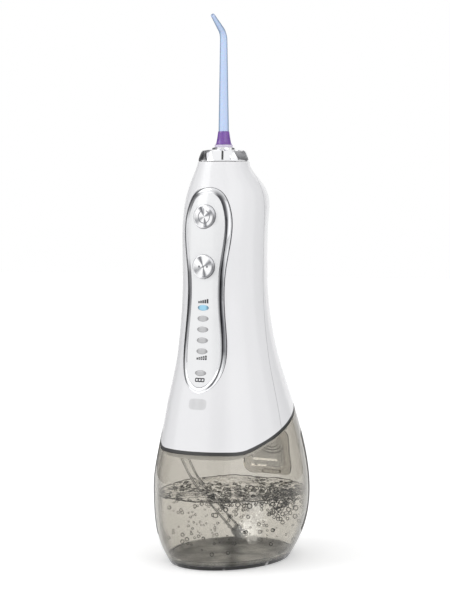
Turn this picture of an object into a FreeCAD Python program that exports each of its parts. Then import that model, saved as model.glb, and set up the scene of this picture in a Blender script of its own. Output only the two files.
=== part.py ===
# Cordless water flosser: a smoky tank below, a waisted white handle with its pump and motor,
# a chrome collar that turns and a bent jet tip that pulls out of it.
# Millimetres.  Origin: centre of the base on the table.  +Z up, front of the handle to -Y.
import FreeCAD, Part
import math
import os
from FreeCAD import Vector

os.makedirs("parts", exist_ok=True)

# ---- overall sizes --------------------------------------------------------------------------
TANK_HEIGHT = 61.0        # table to the low front of the tank's rim
HANDLE_HEIGHT = 156.0     # low front of the rim to the top of the neck
BODY_WIDTH = 82.6         # widest, side to side
BODY_DEPTH = 96.8         # widest, front to back
TIP_LENGTH = 72.1         # collar flange to the top of the jet tip

# Each section: share of the height, then of half the width, and of half the depth forwards and back
TANK_SECTIONS = [
    (0.00, 0.726, 0.868, 0.816),      # base edge
    (0.13, 0.843, 0.955, 0.909),
    (0.33, 0.952, 0.992, 0.992),
    (0.59, 1.000, 0.981, 1.019),      # belly
    (0.85, 0.976, 0.955, 0.986),
]
HANDLE_SECTIONS = [
    (0.058, 0.896, 0.872, 0.884),     # just over the rim
    (0.173, 0.797, 0.802, 0.731),
    (0.288, 0.688, 0.723, 0.570),
    (0.404, 0.610, 0.686, 0.446),
    (0.538, 0.562, 0.665, 0.370),
    (0.699, 0.557, 0.665, 0.347),     # waist
    (0.801, 0.562, 0.645, 0.368),
    (0.865, 0.554, 0.597, 0.393),     # shoulder
    (0.929, 0.475, 0.541, 0.293),
    (1.000, 0.344, 0.4845, 0.1115),   # neck
]

# ---- walls, rim and clearances --------------------------------------------------------------
TANK_WALL = 1.8
SHELL_WALL = 2.0
RIM_BEND_Y = -34.0        # where the level front of the rim starts to rise
RIM_SLOPE = 23.2          # degrees, rising to the back
RIM_BEND_RADIUS = 14.0
RUNNING_FIT = 0.05        # radial, shafts and pistons
BODY_GAP = 0.3            # between faces of pieces that move apart
GASKET_GAP = 0.15
GASKET_THICK = 1.8
GASKET_INSET = 0.2

BASE_THICK = 2.2
PAD_THICK = 1.2
PAD_PROUD = 0.3
PAD_INSET = 7.0
SKIRT_DEPTH = 2.5         # plug of the handle inside the tank
SKIRT_WALL = 1.8
SKIRT_GAP = 0.6
FLOOR_THICK = 2.6
FLOOR_LOW = 0.4           # underside of the floor over the rim

# ---- fill door ------------------------------------------------------------------------------
DOOR_WIDTH = 31.0
DOOR_LOW = 39.0
DOOR_HIGH = 66.0
DOOR_THICK = 1.2
DOOR_CORNER = 5.0
DOOR_STAND_OFF = 0.25
FILL_WIDTH = 22.0
FILL_LOW = 43.5
FILL_HIGH = 61.0
FILL_CORNER = 4.0
HINGE_PIN_RADIUS = 0.8
HINGE_FIT = 0.12          # radial, knuckle of the fill door on its pin
KNUCKLE_RADIUS = 1.9
KNUCKLE_LENGTH = 18.0
LUG_LENGTH = 3.0

# ---- control panel --------------------------------------------------------------------------
PANEL_DEPTH = 1.2
TRIM_PROUD = 0.5
TRIM_WIDTH = 3.2
# half outline of the trim: half width at distance under the neck
PANEL_TOP = 14.0
PANEL_HALF_OUTLINE = [(9.1, 17.3), (12.8, 24.0), (14.6, 33.0), (13.9, 45.0), (12.0, 57.5),
                      (11.2, 70.0), (12.1, 86.0), (13.3, 101.0), (12.3, 111.5), (7.4, 120.6)]
PANEL_BOTTOM = 124.0
BUTTON_RADIUS = 6.4
BUTTON_GAP = 0.15
BUTTON_TRAVEL = 0.8
BUTTON_PROUD = 0.8
BUTTON_WALL = 1.2
BUTTON_STEM = 1.6
DISH_RADIUS = 30.0
DISH_DEPTH = 0.45
POWER_DROP = 29.8         # under the neck
MODE_DROP = 56.5
LAMP_FIRST_DROP = 78.5
LAMP_PITCH = 5.8
LAMP_COUNT = 5
PULSE_LAMP_DROP = 113.2
LAMP_WIDTH = 6.8
LAMP_HEIGHT = 3.1
LAMP_REACH = 2.6          # back of a lamp lens to the board
CHARGE_DROP = 129.5
CHARGE_WIDTH = 11.0
CHARGE_HEIGHT = 6.0
CHARGE_CORNER = 2.4

# ---- electrics ------------------------------------------------------------------------------
BOARD_Y = -25.0           # front face of the board
BOARD_THICK = 1.6
BOARD_WIDTH = 18.0
BOARD_TOP_DROP = 25.0
BOARD_BOTTOM_DROP = 134.0
SWITCH_HEIGHT = 1.4
SWITCH_SIZE = 5.2
PLUNGER_RADIUS = 1.0
CELL_RADIUS = 9.25
CELL_LENGTH = 65.0
CELL_Y = -13.9
CELL_RISE = 18.0          # over the low front of the rim
TAB_THICK = 0.3

# ---- drive ----------------------------------------------------------------------------------
MOTOR_RADIUS = 10.2
MOTOR_LENGTH = 31.0
MOTOR_Y = 8.0
MOTOR_SCREW_X = 6.5
MOTOR_RISE = 27.5
SHAFT_RADIUS = 1.0
BRACKET_THICK = 2.0
MODULE = 0.5
PINION_TEETH = 10
CROWN_TEETH = 40
PINION_LENGTH = 4.0
CROWN_FACE = 2.4          # length of the crown gear's teeth, along its radius
CROWN_THICK = 2.3
AXLE_RADIUS = 1.5
CRANK_RADIUS = 3.0        # half the stroke
CRANK_PIN_RADIUS = 1.5
CRANK_PIN_HEIGHT = 0.9
ROD_LENGTH = 18.0
ROD_THICK = 2.4
ROD_BIG_EYE = 3.0
ROD_SMALL_EYE = 2.3
WRIST_RADIUS = 1.0
CYLINDER_BORE = 4.0
CYLINDER_RADIUS = 6.0
HEAD_RADIUS = 7.0
HEAD_HEIGHT = 13.0
LUG_HEIGHT = 9.6
LUG_THICK = 1.6
PORT_RADIUS = 3.2
TUBE_RADIUS = 2.2
TUBE_BORE = 1.2
TUBE_X = -16.5
TUBE_Y = 0.5

# ---- chassis --------------------------------------------------------------------------------
CHASSIS_Y = -4.3          # front face
CHASSIS_THICK = 1.8
CHASSIS_HALF = 12.5
FOOT_HALF = 28.0
FOOT_RISE = 36.0
BOSS_RADIUS = 2.6
SCREW_RADIUS = 1.2
SCREW_HEAD = 2.2
LOWER_BOSS_X = 25.0
LOWER_BOSS_RISE = 32.0
UPPER_BOSS_X = 15.0
UPPER_BOSS_DROP = 33.5    # under the neck

# ---- nozzle ---------------------------------------------------------------------------------
SEAT_RADIUS = 9.0
SEAT_DROP = 28.0          # bottom of the nozzle seat under the neck
NECK_PLATE = 3.0
SOCKET_RADIUS = 7.0
SOCKET_DEPTH = 17.0       # under the neck
SOCKET_RISE = 5.0         # above the neck
STEM_RADIUS = 3.0
STEM_DEPTH = 24.0
COLLAR_RADIUS = 14.0
COLLAR_TOP_RADIUS = 12.4
COLLAR_HEIGHT = 6.3
COLLAR_RING_RADIUS = 6.35
COLLAR_RING_TOP = 8.0
FLANGE_RADIUS = 5.0
FLANGE_THICK = 1.4
TIP_RING_RADIUS = 4.5
TIP_RING_HEIGHT = 7.4
TIP_ROOT_RADIUS = 2.95
TIP_BEND_RADIUS = 1.95
TIP_END_RADIUS = 1.05
TIP_ARC = 7.0
TIP_ANGLE = 55.0
TIP_REACH = 12.0          # straight end after the bend
TIP_BORE = 1.2
JET_BORE = 0.4

# ---- suction hose ---------------------------------------------------------------------------
HOSE_RADIUS = 2.3
ELBOW_LENGTH = 4.0
SLEEVE_RADIUS = 3.4
HOSE_POINTS = [
    Vector(-20.0, -18.5, 57.5),
    Vector(-15.7, -16.5, 44.8),
    Vector(-8.0, -6.0, 30.4),
    Vector(0.3, 3.0, 15.6),
]
FILTER_RADIUS = 3.2
FILTER_LENGTH = 7.5

# ---- charging socket ------------------------------------------------------------------------
PORT_RISE = 40.0
PORT_WIDTH = 8.9
PORT_THICK = 3.2
PORT_LENGTH = 6.5
PORT_CORNER = 1.4
COVER_WIDTH = 14.0
COVER_HEIGHT = 8.5
COVER_THICK = 1.2

NECK_TOP = TANK_HEIGHT + HANDLE_HEIGHT
CELL_BOTTOM = TANK_HEIGHT + CELL_RISE
MOTOR_BOTTOM = TANK_HEIGHT + MOTOR_RISE
FOOT_TOP = TANK_HEIGHT + FOOT_RISE
PORT_HEIGHT = TANK_HEIGHT + PORT_RISE
LOWER_BOSS = (LOWER_BOSS_X, TANK_HEIGHT + LOWER_BOSS_RISE)
UPPER_BOSS = (UPPER_BOSS_X, NECK_TOP - UPPER_BOSS_DROP)
NECK_BACK = HANDLE_SECTIONS[-1][3] * BODY_DEPTH / 2
NECK_FRONT = HANDLE_SECTIONS[-1][2] * BODY_DEPTH / 2
NOZZLE_Y = (NECK_BACK - NECK_FRONT) / 2
X_AXIS = Vector(1, 0, 0)
Y_AXIS = Vector(0, 1, 0)
Z_AXIS = Vector(0, 0, 1)
FAR = 90.0                # reach of cutting blocks past the body


# ---- helpers --------------------------------------------------------------------------------
def write(name, shape):
    shape.exportStep("parts/" + name + ".step")


def rod(radius, start, end):
    start = Vector(*start)
    end = Vector(*end)
    return Part.makeCylinder(radius, (end - start).Length, start, end - start)


def pipe(outer, inner, start, end):
    return rod(outer, start, end).cut(rod(inner, start, end))


def box(low, high):
    low = Vector(*low)
    size = Vector(*high) - low
    return Part.makeBox(size.x, size.y, size.z, low)


def rounded_block(width, height, corner, middle_x, middle_z, y_from, y_to):
    """A block along Y whose XZ outline is a rounded rectangle."""
    block = box((middle_x - width / 2, y_from, middle_z - height / 2),
                (middle_x + width / 2, y_to, middle_z + height / 2))
    edges = [edge for edge in block.Edges if edge.BoundBox.YLength > abs(y_to - y_from) - 1e-6]
    return block.makeFillet(corner, edges)


def body_sections():
    sections = [(share * TANK_HEIGHT, wide, front, back) for share, wide, front, back in TANK_SECTIONS]
    for share, wide, front, back in HANDLE_SECTIONS:
        sections.append((TANK_HEIGHT + share * HANDLE_HEIGHT, wide, front, back))
    return sections


def oval(half_x, half_y, middle):
    """Level ellipse that starts at its back end, whichever way it is longer."""
    if half_y >= half_x:
        return Part.Ellipse(middle + Vector(0, half_y, 0), middle + Vector(half_x, 0, 0), middle).toShape()
    wide = Part.Ellipse(middle + Vector(half_x, 0, 0), middle - Vector(0, half_y, 0), middle)
    return Part.Edge(wide, 3 * math.pi / 2, 7 * math.pi / 2)


def body_solid(offset):
    """The whole outer form, grown (or shrunk) sideways by offset."""
    wires = []
    for height, wide, front, back in body_sections():
        half_x = wide * BODY_WIDTH / 2 + offset
        half_y = (front + back) * BODY_DEPTH / 4 + offset
        middle = Vector(0, (back - front) * BODY_DEPTH / 4, height)
        wires.append(Part.Wire([oval(half_x, half_y, middle)]))
    return Part.makeLoft(wires, True, False)


def rim_height(y):
    return TANK_HEIGHT + max(0.0, y - RIM_BEND_Y) * math.tan(math.radians(RIM_SLOPE))


def under_rim(shift):
    """Everything below the rim line raised by shift."""
    low = TANK_HEIGHT + shift
    slope = math.radians(RIM_SLOPE)
    run = RIM_BEND_RADIUS * math.tan(slope / 2)
    start = Vector(-FAR, RIM_BEND_Y - run, low)
    middle = Vector(-FAR, RIM_BEND_Y - run + RIM_BEND_RADIUS * math.sin(slope / 2),
                    low + RIM_BEND_RADIUS * (1 - math.cos(slope / 2)))
    end = Vector(-FAR, RIM_BEND_Y + run * math.cos(slope), low + run * math.sin(slope))
    back = Vector(-FAR, FAR, low + (FAR - RIM_BEND_Y) * math.tan(slope))
    corners = [Vector(-FAR, -FAR, low), start]
    edges = [Part.makeLine(*corners), Part.Arc(start, middle, end).toShape(), Part.makeLine(end, back)]
    base = [back, Vector(-FAR, FAR, -FAR), Vector(-FAR, -FAR, -FAR), corners[0]]
    for first, second in zip(base, base[1:]):
        edges.append(Part.makeLine(first, second))
    return Part.Face(Part.Wire(edges)).extrude(Vector(2 * FAR, 0, 0))


def between_rims(low, high):
    return under_rim(high).cut(under_rim(low))


def rim_outline(solid, inset):
    """Upright prism through the rim line of a solid, pulled in by inset."""
    count = 32
    points = []
    for step in range(count):
        angle = 2 * math.pi * step / count
        inside, outside = 0.0, BODY_DEPTH
        while outside - inside > 0.01:
            reach = (inside + outside) / 2
            x = reach * math.cos(angle)
            y = reach * math.sin(angle)
            if solid.isInside(Vector(x, y, rim_height(y)), 0.001, True):
                inside = reach
            else:
                outside = reach
        points.append(Vector((inside - inset) * math.cos(angle), (inside - inset) * math.sin(angle), 0))
    curve = Part.BSplineCurve()
    curve.interpolate(Points=points, PeriodicFlag=True)
    return Part.Face(Part.Wire([curve.toShape()])).extrude(Vector(0, 0, NECK_TOP))


def surface_y(solid, x, z, side):
    """Y of the solid's front (side -1) or back (side 1) surface at x, z."""
    line = Part.makeLine(Vector(x, -FAR, z), Vector(x, FAR, z))
    bounds = line.common(solid).BoundBox
    return bounds.YMin if side < 0 else bounds.YMax


def rounded_tube(points, radius, bend_radii):
    """Solid tube through straight runs joined by tangent arcs."""
    edges = []
    start = points[0]
    for index in range(1, len(points) - 1):
        corner = points[index]
        come = (corner - points[index - 1]).normalize()
        go = (points[index + 1] - corner).normalize()
        turn = come.getAngle(go)
        setback = bend_radii[index - 1] * math.tan(turn / 2)
        arc_start = corner - come * setback
        arc_end = corner + go * setback
        inward = (go - come).normalize()
        centre = corner + inward * (bend_radii[index - 1] / math.cos(turn / 2))
        arc_middle = centre - inward * bend_radii[index - 1]
        edges.append(Part.makeLine(start, arc_start))
        edges.append(Part.Arc(arc_start, arc_middle, arc_end).toShape())
        start = arc_end
    edges.append(Part.makeLine(start, points[-1]))
    path = Part.Wire(edges)
    profile = Part.Wire([Part.makeCircle(radius, points[0], points[1] - points[0])])
    return path.makePipeShell([profile], True, False), path.Length


# ---- forms used by several pieces -----------------------------------------------------------
OUTER = body_solid(0.0)
TANK_INSIDE = body_solid(-TANK_WALL)
SHELL_INSIDE = body_solid(-SHELL_WALL)
FLOOR_FORM = body_solid(-SHELL_WALL - RUNNING_FIT)
PANEL_FLOOR = body_solid(-PANEL_DEPTH)
TRIM_FORM = body_solid(TRIM_PROUD)
PLUG = rim_outline(TANK_INSIDE, SKIRT_GAP)
PLUG_HOLLOW = rim_outline(TANK_INSIDE, SKIRT_GAP + SKIRT_WALL)


def closed_curve(points):
    curve = Part.BSplineCurve()
    curve.interpolate(Points=points, PeriodicFlag=True)
    return curve


def panel_prism(shrink):
    """Hourglass outline of the panel, pulled in by shrink, through the front half of the handle."""
    right = [Vector(half, 0, NECK_TOP - drop) for half, drop in PANEL_HALF_OUTLINE]
    left = [Vector(-point.x, 0, point.z) for point in reversed(right)]
    top = Vector(0, 0, NECK_TOP - PANEL_TOP)
    bottom = Vector(0, 0, NECK_TOP - PANEL_BOTTOM)
    curve = closed_curve([top] + right + [bottom] + left)
    if shrink > 0:
        count = 48
        stride = (curve.LastParameter - curve.FirstParameter) / count
        points = []
        for step in range(count):
            place = curve.FirstParameter + stride * step
            inward = Y_AXIS.cross(curve.tangent(place)[0]).normalize()
            points.append(curve.value(place) + inward * shrink)
        curve = closed_curve(points)
    return Part.Face(Part.Wire([curve.toShape()])).extrude(Vector(0, -FAR, 0))


PANEL_OUTER = panel_prism(0.0)
PANEL_INNER = panel_prism(TRIM_WIDTH)


def lamp_drops():
    return [LAMP_FIRST_DROP + LAMP_PITCH * step for step in range(LAMP_COUNT)] + [PULSE_LAMP_DROP]


def button_front(drop):
    return surface_y(OUTER, 0, NECK_TOP - drop, -1) - BUTTON_PROUD


def lamp_block(drop):
    """An oval block along Y where a lamp shows."""
    middle = Vector(0, -FAR, NECK_TOP - drop)
    oval_edge = Part.Ellipse(middle + X_AXIS * LAMP_WIDTH / 2, middle + Z_AXIS * LAMP_HEIGHT / 2, middle).toShape()
    return Part.Face(Part.Wire([oval_edge])).extrude(Vector(0, FAR + BOARD_Y - LAMP_REACH, 0))


def charge_block(grow):
    return rounded_block(CHARGE_WIDTH + 2 * grow, CHARGE_HEIGHT + 2 * grow, CHARGE_CORNER + grow,
                         0, NECK_TOP - CHARGE_DROP, -FAR, BOARD_Y - LAMP_REACH)


def seam_half(front):
    """Block in front of (or behind) the seam, a plane that leans forward towards the rim."""
    top_y = -4.5
    bottom_y = -9.6
    far_y = -FAR if front else FAR
    corners = [(far_y, TANK_HEIGHT), (bottom_y, TANK_HEIGHT), (top_y, NECK_TOP), (far_y, NECK_TOP)]
    outline = [Vector(-FAR, y, z) for y, z in corners]
    return Part.Face(Part.makePolygon(outline + outline[:1])).extrude(Vector(2 * FAR, 0, 0))


# ---- tank -----------------------------------------------------------------------------------
def hinge_place():
    height = DOOR_HIGH + KNUCKLE_RADIUS
    y = surface_y(OUTER, 0, height, 1) + KNUCKLE_RADIUS + BODY_GAP
    return y, height


def fill_hole(grow):
    return rounded_block(FILL_WIDTH + 2 * grow, FILL_HIGH - FILL_LOW + 2 * grow, FILL_CORNER + grow,
                         0, (FILL_LOW + FILL_HIGH) / 2, 0, FAR)


def tank_shell():
    shell = OUTER.cut(TANK_INSIDE).common(under_rim(0.0))
    shell = shell.cut(box((-FAR, -FAR, -1), (FAR, FAR, PAD_PROUD + BASE_THICK)))
    shell = shell.cut(fill_hole(0.0))
    y, z = hinge_place()
    for side in (-1, 1):
        start = side * (KNUCKLE_LENGTH / 2 + BODY_GAP)
        lug = rod(KNUCKLE_RADIUS, (start, y, z), (start + side * LUG_LENGTH, y, z))
        low_x = min(start, start + side * LUG_LENGTH)
        web = box((low_x, y - KNUCKLE_RADIUS - 4, z - 1.0), (low_x + LUG_LENGTH, y, z + 1.8))
        shell = shell.fuse(lug.fuse(web).cut(TANK_INSIDE))
    return shell.cut(rod(HINGE_PIN_RADIUS, (-FAR, y, z), (FAR, y, z)))


def tank_base():
    plate = OUTER.common(box((-FAR, -FAR, PAD_PROUD), (FAR, FAR, PAD_PROUD + BASE_THICK)))
    spigot = TANK_INSIDE.cut(body_solid(-TANK_WALL - 1.5))
    top = PAD_PROUD + BASE_THICK
    spigot = spigot.common(box((-FAR, -FAR, top), (FAR, FAR, top + 2.0)))
    return plate.fuse(spigot).cut(base_pad())


def base_pad():
    return body_solid(-PAD_INSET).common(box((-FAR, -FAR, 0), (FAR, FAR, PAD_THICK)))


def fill_door():
    y, z = hinge_place()
    outside = body_solid(DOOR_STAND_OFF + DOOR_THICK)
    inside = body_solid(DOOR_STAND_OFF)
    outline = rounded_block(DOOR_WIDTH, DOOR_HIGH - DOOR_LOW, DOOR_CORNER,
                            0, (DOOR_LOW + DOOR_HIGH) / 2, 0, FAR)
    flap = outside.cut(inside).common(outline)
    knuckle = rod(KNUCKLE_RADIUS, (-KNUCKLE_LENGTH / 2, y, z), (KNUCKLE_LENGTH / 2, y, z))
    arm = box((-KNUCKLE_LENGTH / 2, y - 2.6, DOOR_HIGH - 2.0), (KNUCKLE_LENGTH / 2, y, z))
    arm = arm.cut(inside)
    pull = rounded_block(12.0, 2.0, 0.9, 0, DOOR_LOW + 1.2, 0, FAR)
    pull = body_solid(DOOR_STAND_OFF + DOOR_THICK + 2.2).cut(inside).common(pull)
    door = flap.fuse([knuckle, arm, pull])
    return door.cut(rod(HINGE_PIN_RADIUS + HINGE_FIT, (-FAR, y, z), (FAR, y, z)))


def fill_door_seal():
    inside = body_solid(DOOR_STAND_OFF)
    plug = inside.cut(body_solid(-1.4)).common(fill_hole(-BODY_GAP - 0.1))
    hollow = body_solid(-0.6).common(fill_hole(-BODY_GAP - 2.0))
    return plug.cut(hollow)


def fill_door_pin():
    y, z = hinge_place()
    half = KNUCKLE_LENGTH / 2 + BODY_GAP + LUG_LENGTH
    return rod(HINGE_PIN_RADIUS, (-half, y, z), (half, y, z))


# ---- handle casing --------------------------------------------------------------------------
def port_end():
    """Mouth of the charging socket, just inside the closed cover."""
    top_edge = PORT_HEIGHT + PORT_THICK / 2
    return surface_y(OUTER, PORT_WIDTH / 2, top_edge, 1) - COVER_THICK - BODY_GAP


def cover_outline(grow):
    return rounded_block(COVER_WIDTH + 2 * grow, COVER_HEIGHT + 2 * grow, 2.0 + grow,
                         0, PORT_HEIGHT, 0, FAR)


def handle_casing():
    room = SHELL_INSIDE.common(box((-FAR, -FAR, 0), (FAR, FAR, NECK_TOP - NECK_PLATE)))
    casing = OUTER.cut(room).cut(under_rim(GASKET_GAP + GASKET_THICK))
    neck = (0, NOZZLE_Y, NECK_TOP - 2 * NECK_PLATE)
    return casing.cut(rod(SOCKET_RADIUS + BODY_GAP, neck, (0, NOZZLE_Y, NECK_TOP + 1)))


CASING = handle_casing()


def bosses(y_from, y_to, radius):
    solids = []
    for x, z in (LOWER_BOSS, UPPER_BOSS):
        for side in (-1, 1):
            solids.append(rod(radius, (side * x, y_from, z), (side * x, y_to, z)))
    return solids


def front_shell():
    shell = CASING.common(seam_half(True))
    recess = PANEL_OUTER.cut(PANEL_FLOOR)
    shell = shell.cut(recess).cut(charge_block(0.0))
    for drop in (POWER_DROP, MODE_DROP):
        hole = rod(BUTTON_RADIUS + BUTTON_GAP, (0, -FAR, NECK_TOP - drop), (0, BOARD_Y, NECK_TOP - drop))
        shell = shell.cut(hole)
    for drop in lamp_drops():
        shell = shell.cut(lamp_block(drop))
    for boss in bosses(-FAR, CHASSIS_Y, BOSS_RADIUS):
        shell = shell.fuse(boss.common(PANEL_FLOOR))
    for hole in bosses(CHASSIS_Y - 8.0, CHASSIS_Y + 1.0, SCREW_RADIUS):
        shell = shell.cut(hole)
    return shell


def rear_shell():
    shell = CASING.common(seam_half(False))
    back_of_chassis = CHASSIS_Y + CHASSIS_THICK
    for boss in bosses(back_of_chassis, FAR, BOSS_RADIUS + 0.6):
        shell = shell.fuse(boss.common(OUTER))
    for hole in bosses(back_of_chassis - 1, FAR, SCREW_RADIUS):
        shell = shell.cut(hole)
    for x, z in (LOWER_BOSS, UPPER_BOSS):
        for side in (-1, 1):
            y = screw_head_y(x, z)
            shell = shell.cut(rod(SCREW_HEAD + 0.1, (side * x, y, z), (side * x, FAR, z)))
    shell = shell.cut(cover_outline(BODY_GAP).cut(body_solid(-COVER_THICK - BODY_GAP)))
    return shell.cut(port_block(0.0))


def screw_head_y(x, z):
    return surface_y(OUTER, x + SCREW_HEAD, z, 1) - 3.5


def shell_screws():
    solids = []
    for x, z in (LOWER_BOSS, UPPER_BOSS):
        for side in (-1, 1):
            y = screw_head_y(x, z)
            shank = rod(SCREW_RADIUS, (side * x, CHASSIS_Y - 7.5, z), (side * x, y, z))
            head = rod(SCREW_HEAD, (side * x, y, z), (side * x, y + 1.6, z))
            slot = box((side * x - 0.3, y + 0.8, z - 1.4), (side * x + 0.3, y + 2, z + 1.4))
            cross = box((side * x - 1.4, y + 0.8, z - 0.3), (side * x + 1.4, y + 2, z + 0.3))
            solids.append(shank.fuse(head).cut(slot).cut(cross))
    return Part.makeCompound(solids)


def panel_trim():
    band = TRIM_FORM.cut(PANEL_FLOOR).common(PANEL_OUTER)
    return band.cut(PANEL_INNER)


def panel_plate():
    plate = OUTER.cut(PANEL_FLOOR).common(PANEL_INNER)
    for drop in (POWER_DROP, MODE_DROP):
        hole = rod(BUTTON_RADIUS + BUTTON_GAP, (0, -FAR, NECK_TOP - drop), (0, BOARD_Y, NECK_TOP - drop))
        plate = plate.cut(hole)
    for drop in lamp_drops():
        plate = plate.cut(lamp_block(drop))
    return plate


def lamp_lenses():
    return Part.makeCompound([lamp_block(drop).common(OUTER) for drop in lamp_drops()])


def charge_window():
    return charge_block(0.0).common(OUTER)


def button_cap(drop):
    z = NECK_TOP - drop
    front = button_front(drop)
    inner_wall = surface_y(SHELL_INSIDE, 0, z, -1)
    flange = inner_wall + BODY_GAP + 0.5
    cap = rod(BUTTON_RADIUS, (0, front, z), (0, flange, z))
    cap = cap.cut(Part.makeSphere(DISH_RADIUS, Vector(0, front - DISH_RADIUS + DISH_DEPTH, z)))
    cap = cap.cut(rod(BUTTON_RADIUS - BUTTON_WALL, (0, front + BUTTON_WALL + DISH_DEPTH, z), (0, FAR, z)))
    return cap.fuse(rod(BUTTON_STEM, (0, front + BUTTON_WALL, z), (0, plunger_front(), z)))


def switch_front():
    return BOARD_Y - SWITCH_HEIGHT


def plunger_front():
    return switch_front() - BUTTON_TRAVEL - 0.1


def button_plunger(drop):
    z = NECK_TOP - drop
    return rod(PLUNGER_RADIUS, (0, plunger_front(), z), (0, switch_front() + 0.35, z))


def button_seals():
    rings = []
    for drop in (POWER_DROP, MODE_DROP):
        z = NECK_TOP - drop
        y = surface_y(SHELL_INSIDE, BUTTON_RADIUS + 1.4, z, -1) + 0.1
        rings.append(pipe(BUTTON_RADIUS + 1.4, BUTTON_RADIUS + BUTTON_GAP, (0, y, z), (0, y + 1.0, z))
                     .cut(OUTER.cut(SHELL_INSIDE)))
    return Part.makeCompound(rings)


# ---- floor of the handle --------------------------------------------------------------------
def base_cap():
    plate = FLOOR_FORM.common(between_rims(FLOOR_LOW, FLOOR_LOW + FLOOR_THICK))
    skirt = PLUG.cut(PLUG_HOLLOW).common(between_rims(-SKIRT_DEPTH, FLOOR_LOW + 0.3))
    place = connector_place()
    return plate.fuse(skirt).cut(rod(TUBE_RADIUS, (place.x, place.y, 0), (place.x, place.y, NECK_TOP)))


def tank_gasket():
    ring = body_solid(-GASKET_INSET).cut(FLOOR_FORM).cut(PLUG)
    return ring.common(between_rims(GASKET_GAP, GASKET_GAP + GASKET_THICK))


def hose_way():
    """Direction in which the hose leaves its connector, pointing back up."""
    return (HOSE_POINTS[0] - HOSE_POINTS[1]).normalize()


def connector_place():
    return HOSE_POINTS[0] + hose_way() * ELBOW_LENGTH


def connector_top():
    return rim_height(connector_place().y) + 8.0


def hose_connector():
    place = connector_place()
    floor = rim_height(place.y - SLEEVE_RADIUS) + FLOOR_LOW - 0.2
    outlet = Part.makeCylinder(SLEEVE_RADIUS - 0.2, ELBOW_LENGTH, HOSE_POINTS[0], hose_way())
    elbow = Part.makeSphere(SLEEVE_RADIUS, place)
    sleeve = rod(SLEEVE_RADIUS, place, (place.x, place.y, floor))
    stem = rod(TUBE_RADIUS, place, (place.x, place.y, connector_top()))
    connector = outlet.fuse([elbow, sleeve, stem])
    connector = connector.cut(rod(TUBE_BORE, place, (place.x, place.y, connector_top() + 1)))
    return connector.cut(Part.makeCylinder(TUBE_BORE, ELBOW_LENGTH + 1, HOSE_POINTS[0] - hose_way(), hose_way()))


def hose_radii():
    radii = []
    for before, corner, after in zip(HOSE_POINTS, HOSE_POINTS[1:], HOSE_POINTS[2:]):
        turn = (corner - before).getAngle(after - corner)
        shorter = min((corner - before).Length, (after - corner).Length)
        radii.append(0.45 * shorter / math.tan(turn / 2))
    return radii


def suction_hose():
    hose, length = rounded_tube(HOSE_POINTS, HOSE_RADIUS, hose_radii())
    section = math.pi * HOSE_RADIUS ** 2 * length
    print("hose length %.1f, radii %s, volume ratio %.4f"
          % (length, [round(radius, 1) for radius in hose_radii()], hose.Volume / section))
    return hose


def hose_filter():
    start = HOSE_POINTS[-1]
    way = (start - HOSE_POINTS[-2]).normalize()
    body = Part.makeCylinder(FILTER_RADIUS, FILTER_LENGTH, start, way)
    ends = [edge for edge in body.Edges if edge.Curve.TypeId == "Part::GeomCircle"]
    body = body.makeFillet(0.6, ends)
    holes = []
    side = way.cross(Z_AXIS).normalize()
    for turn in range(6):
        spin = FreeCAD.Rotation(way, 60 * turn)
        out = spin.multVec(side)
        place = start + way * (FILTER_LENGTH * 0.6)
        holes.append(Part.makeCylinder(0.7, FILTER_RADIUS + 1, place, out))
    return body.cut(holes)


# ---- chassis, battery and board -------------------------------------------------------------
def chassis():
    back = CHASSIS_Y + CHASSIS_THICK
    foot = rim_height(back) + FLOOR_LOW + FLOOR_THICK + 0.2
    top = NECK_TOP - SEAT_DROP - 0.4
    plate = box((-CHASSIS_HALF, CHASSIS_Y, foot), (CHASSIS_HALF, back, top))
    feet = box((-FOOT_HALF, CHASSIS_Y, foot), (FOOT_HALF, back, FOOT_TOP))
    x, z = UPPER_BOSS
    ears = box((-x - BOSS_RADIUS, CHASSIS_Y, z - BOSS_RADIUS), (x + BOSS_RADIUS, back, z + BOSS_RADIUS))
    frame = plate.fuse([feet, ears]).common(FLOOR_FORM)
    cell = rod(CELL_RADIUS + 0.1, (0, CELL_Y, 0), (0, CELL_Y, NECK_TOP))
    for height in (CELL_BOTTOM + 15.0, CELL_BOTTOM + CELL_LENGTH - 15.0):
        saddle = box((-CELL_RADIUS - 1.6, CELL_Y - 1.0, height - 3), (CELL_RADIUS + 1.6, CHASSIS_Y, height + 3))
        frame = frame.fuse(saddle.cut(cell))
    for z in (pump_bottom() - 3.0, NECK_TOP - BOARD_TOP_DROP - 8.0):
        for x in (-7.0, 7.0):
            frame = frame.fuse(rod(1.8, (x, CHASSIS_Y, z), (x, BOARD_Y + BOARD_THICK, z)))
    window = box((-CYLINDER_RADIUS - 1.3, CHASSIS_Y - 1, pump_bottom() - 2 * CRANK_RADIUS - 3.5),
                 (CYLINDER_RADIUS + 1.3, back + 1, NECK_TOP))
    band = box((-FAR, -FAR, pump_bottom() + 4), (FAR, FAR, pump_bottom() + 10))
    frame = frame.cut(window.cut(band))
    for hole in bosses(CHASSIS_Y - 1, back + 1, SCREW_RADIUS) + [head_screw(side) for side in (-1, 1)]:
        frame = frame.cut(hole)
    return frame.cut(rod(CYLINDER_RADIUS, (0, ROD_Y, pump_bottom()), (0, ROD_Y, pump_top())))


def battery_cell():
    top = CELL_BOTTOM + CELL_LENGTH
    cell = rod(CELL_RADIUS, (0, CELL_Y, CELL_BOTTOM), (0, CELL_Y, top - 1.0))
    return cell.fuse(rod(3.0, (0, CELL_Y, top - 1.0), (0, CELL_Y, top)))


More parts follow.
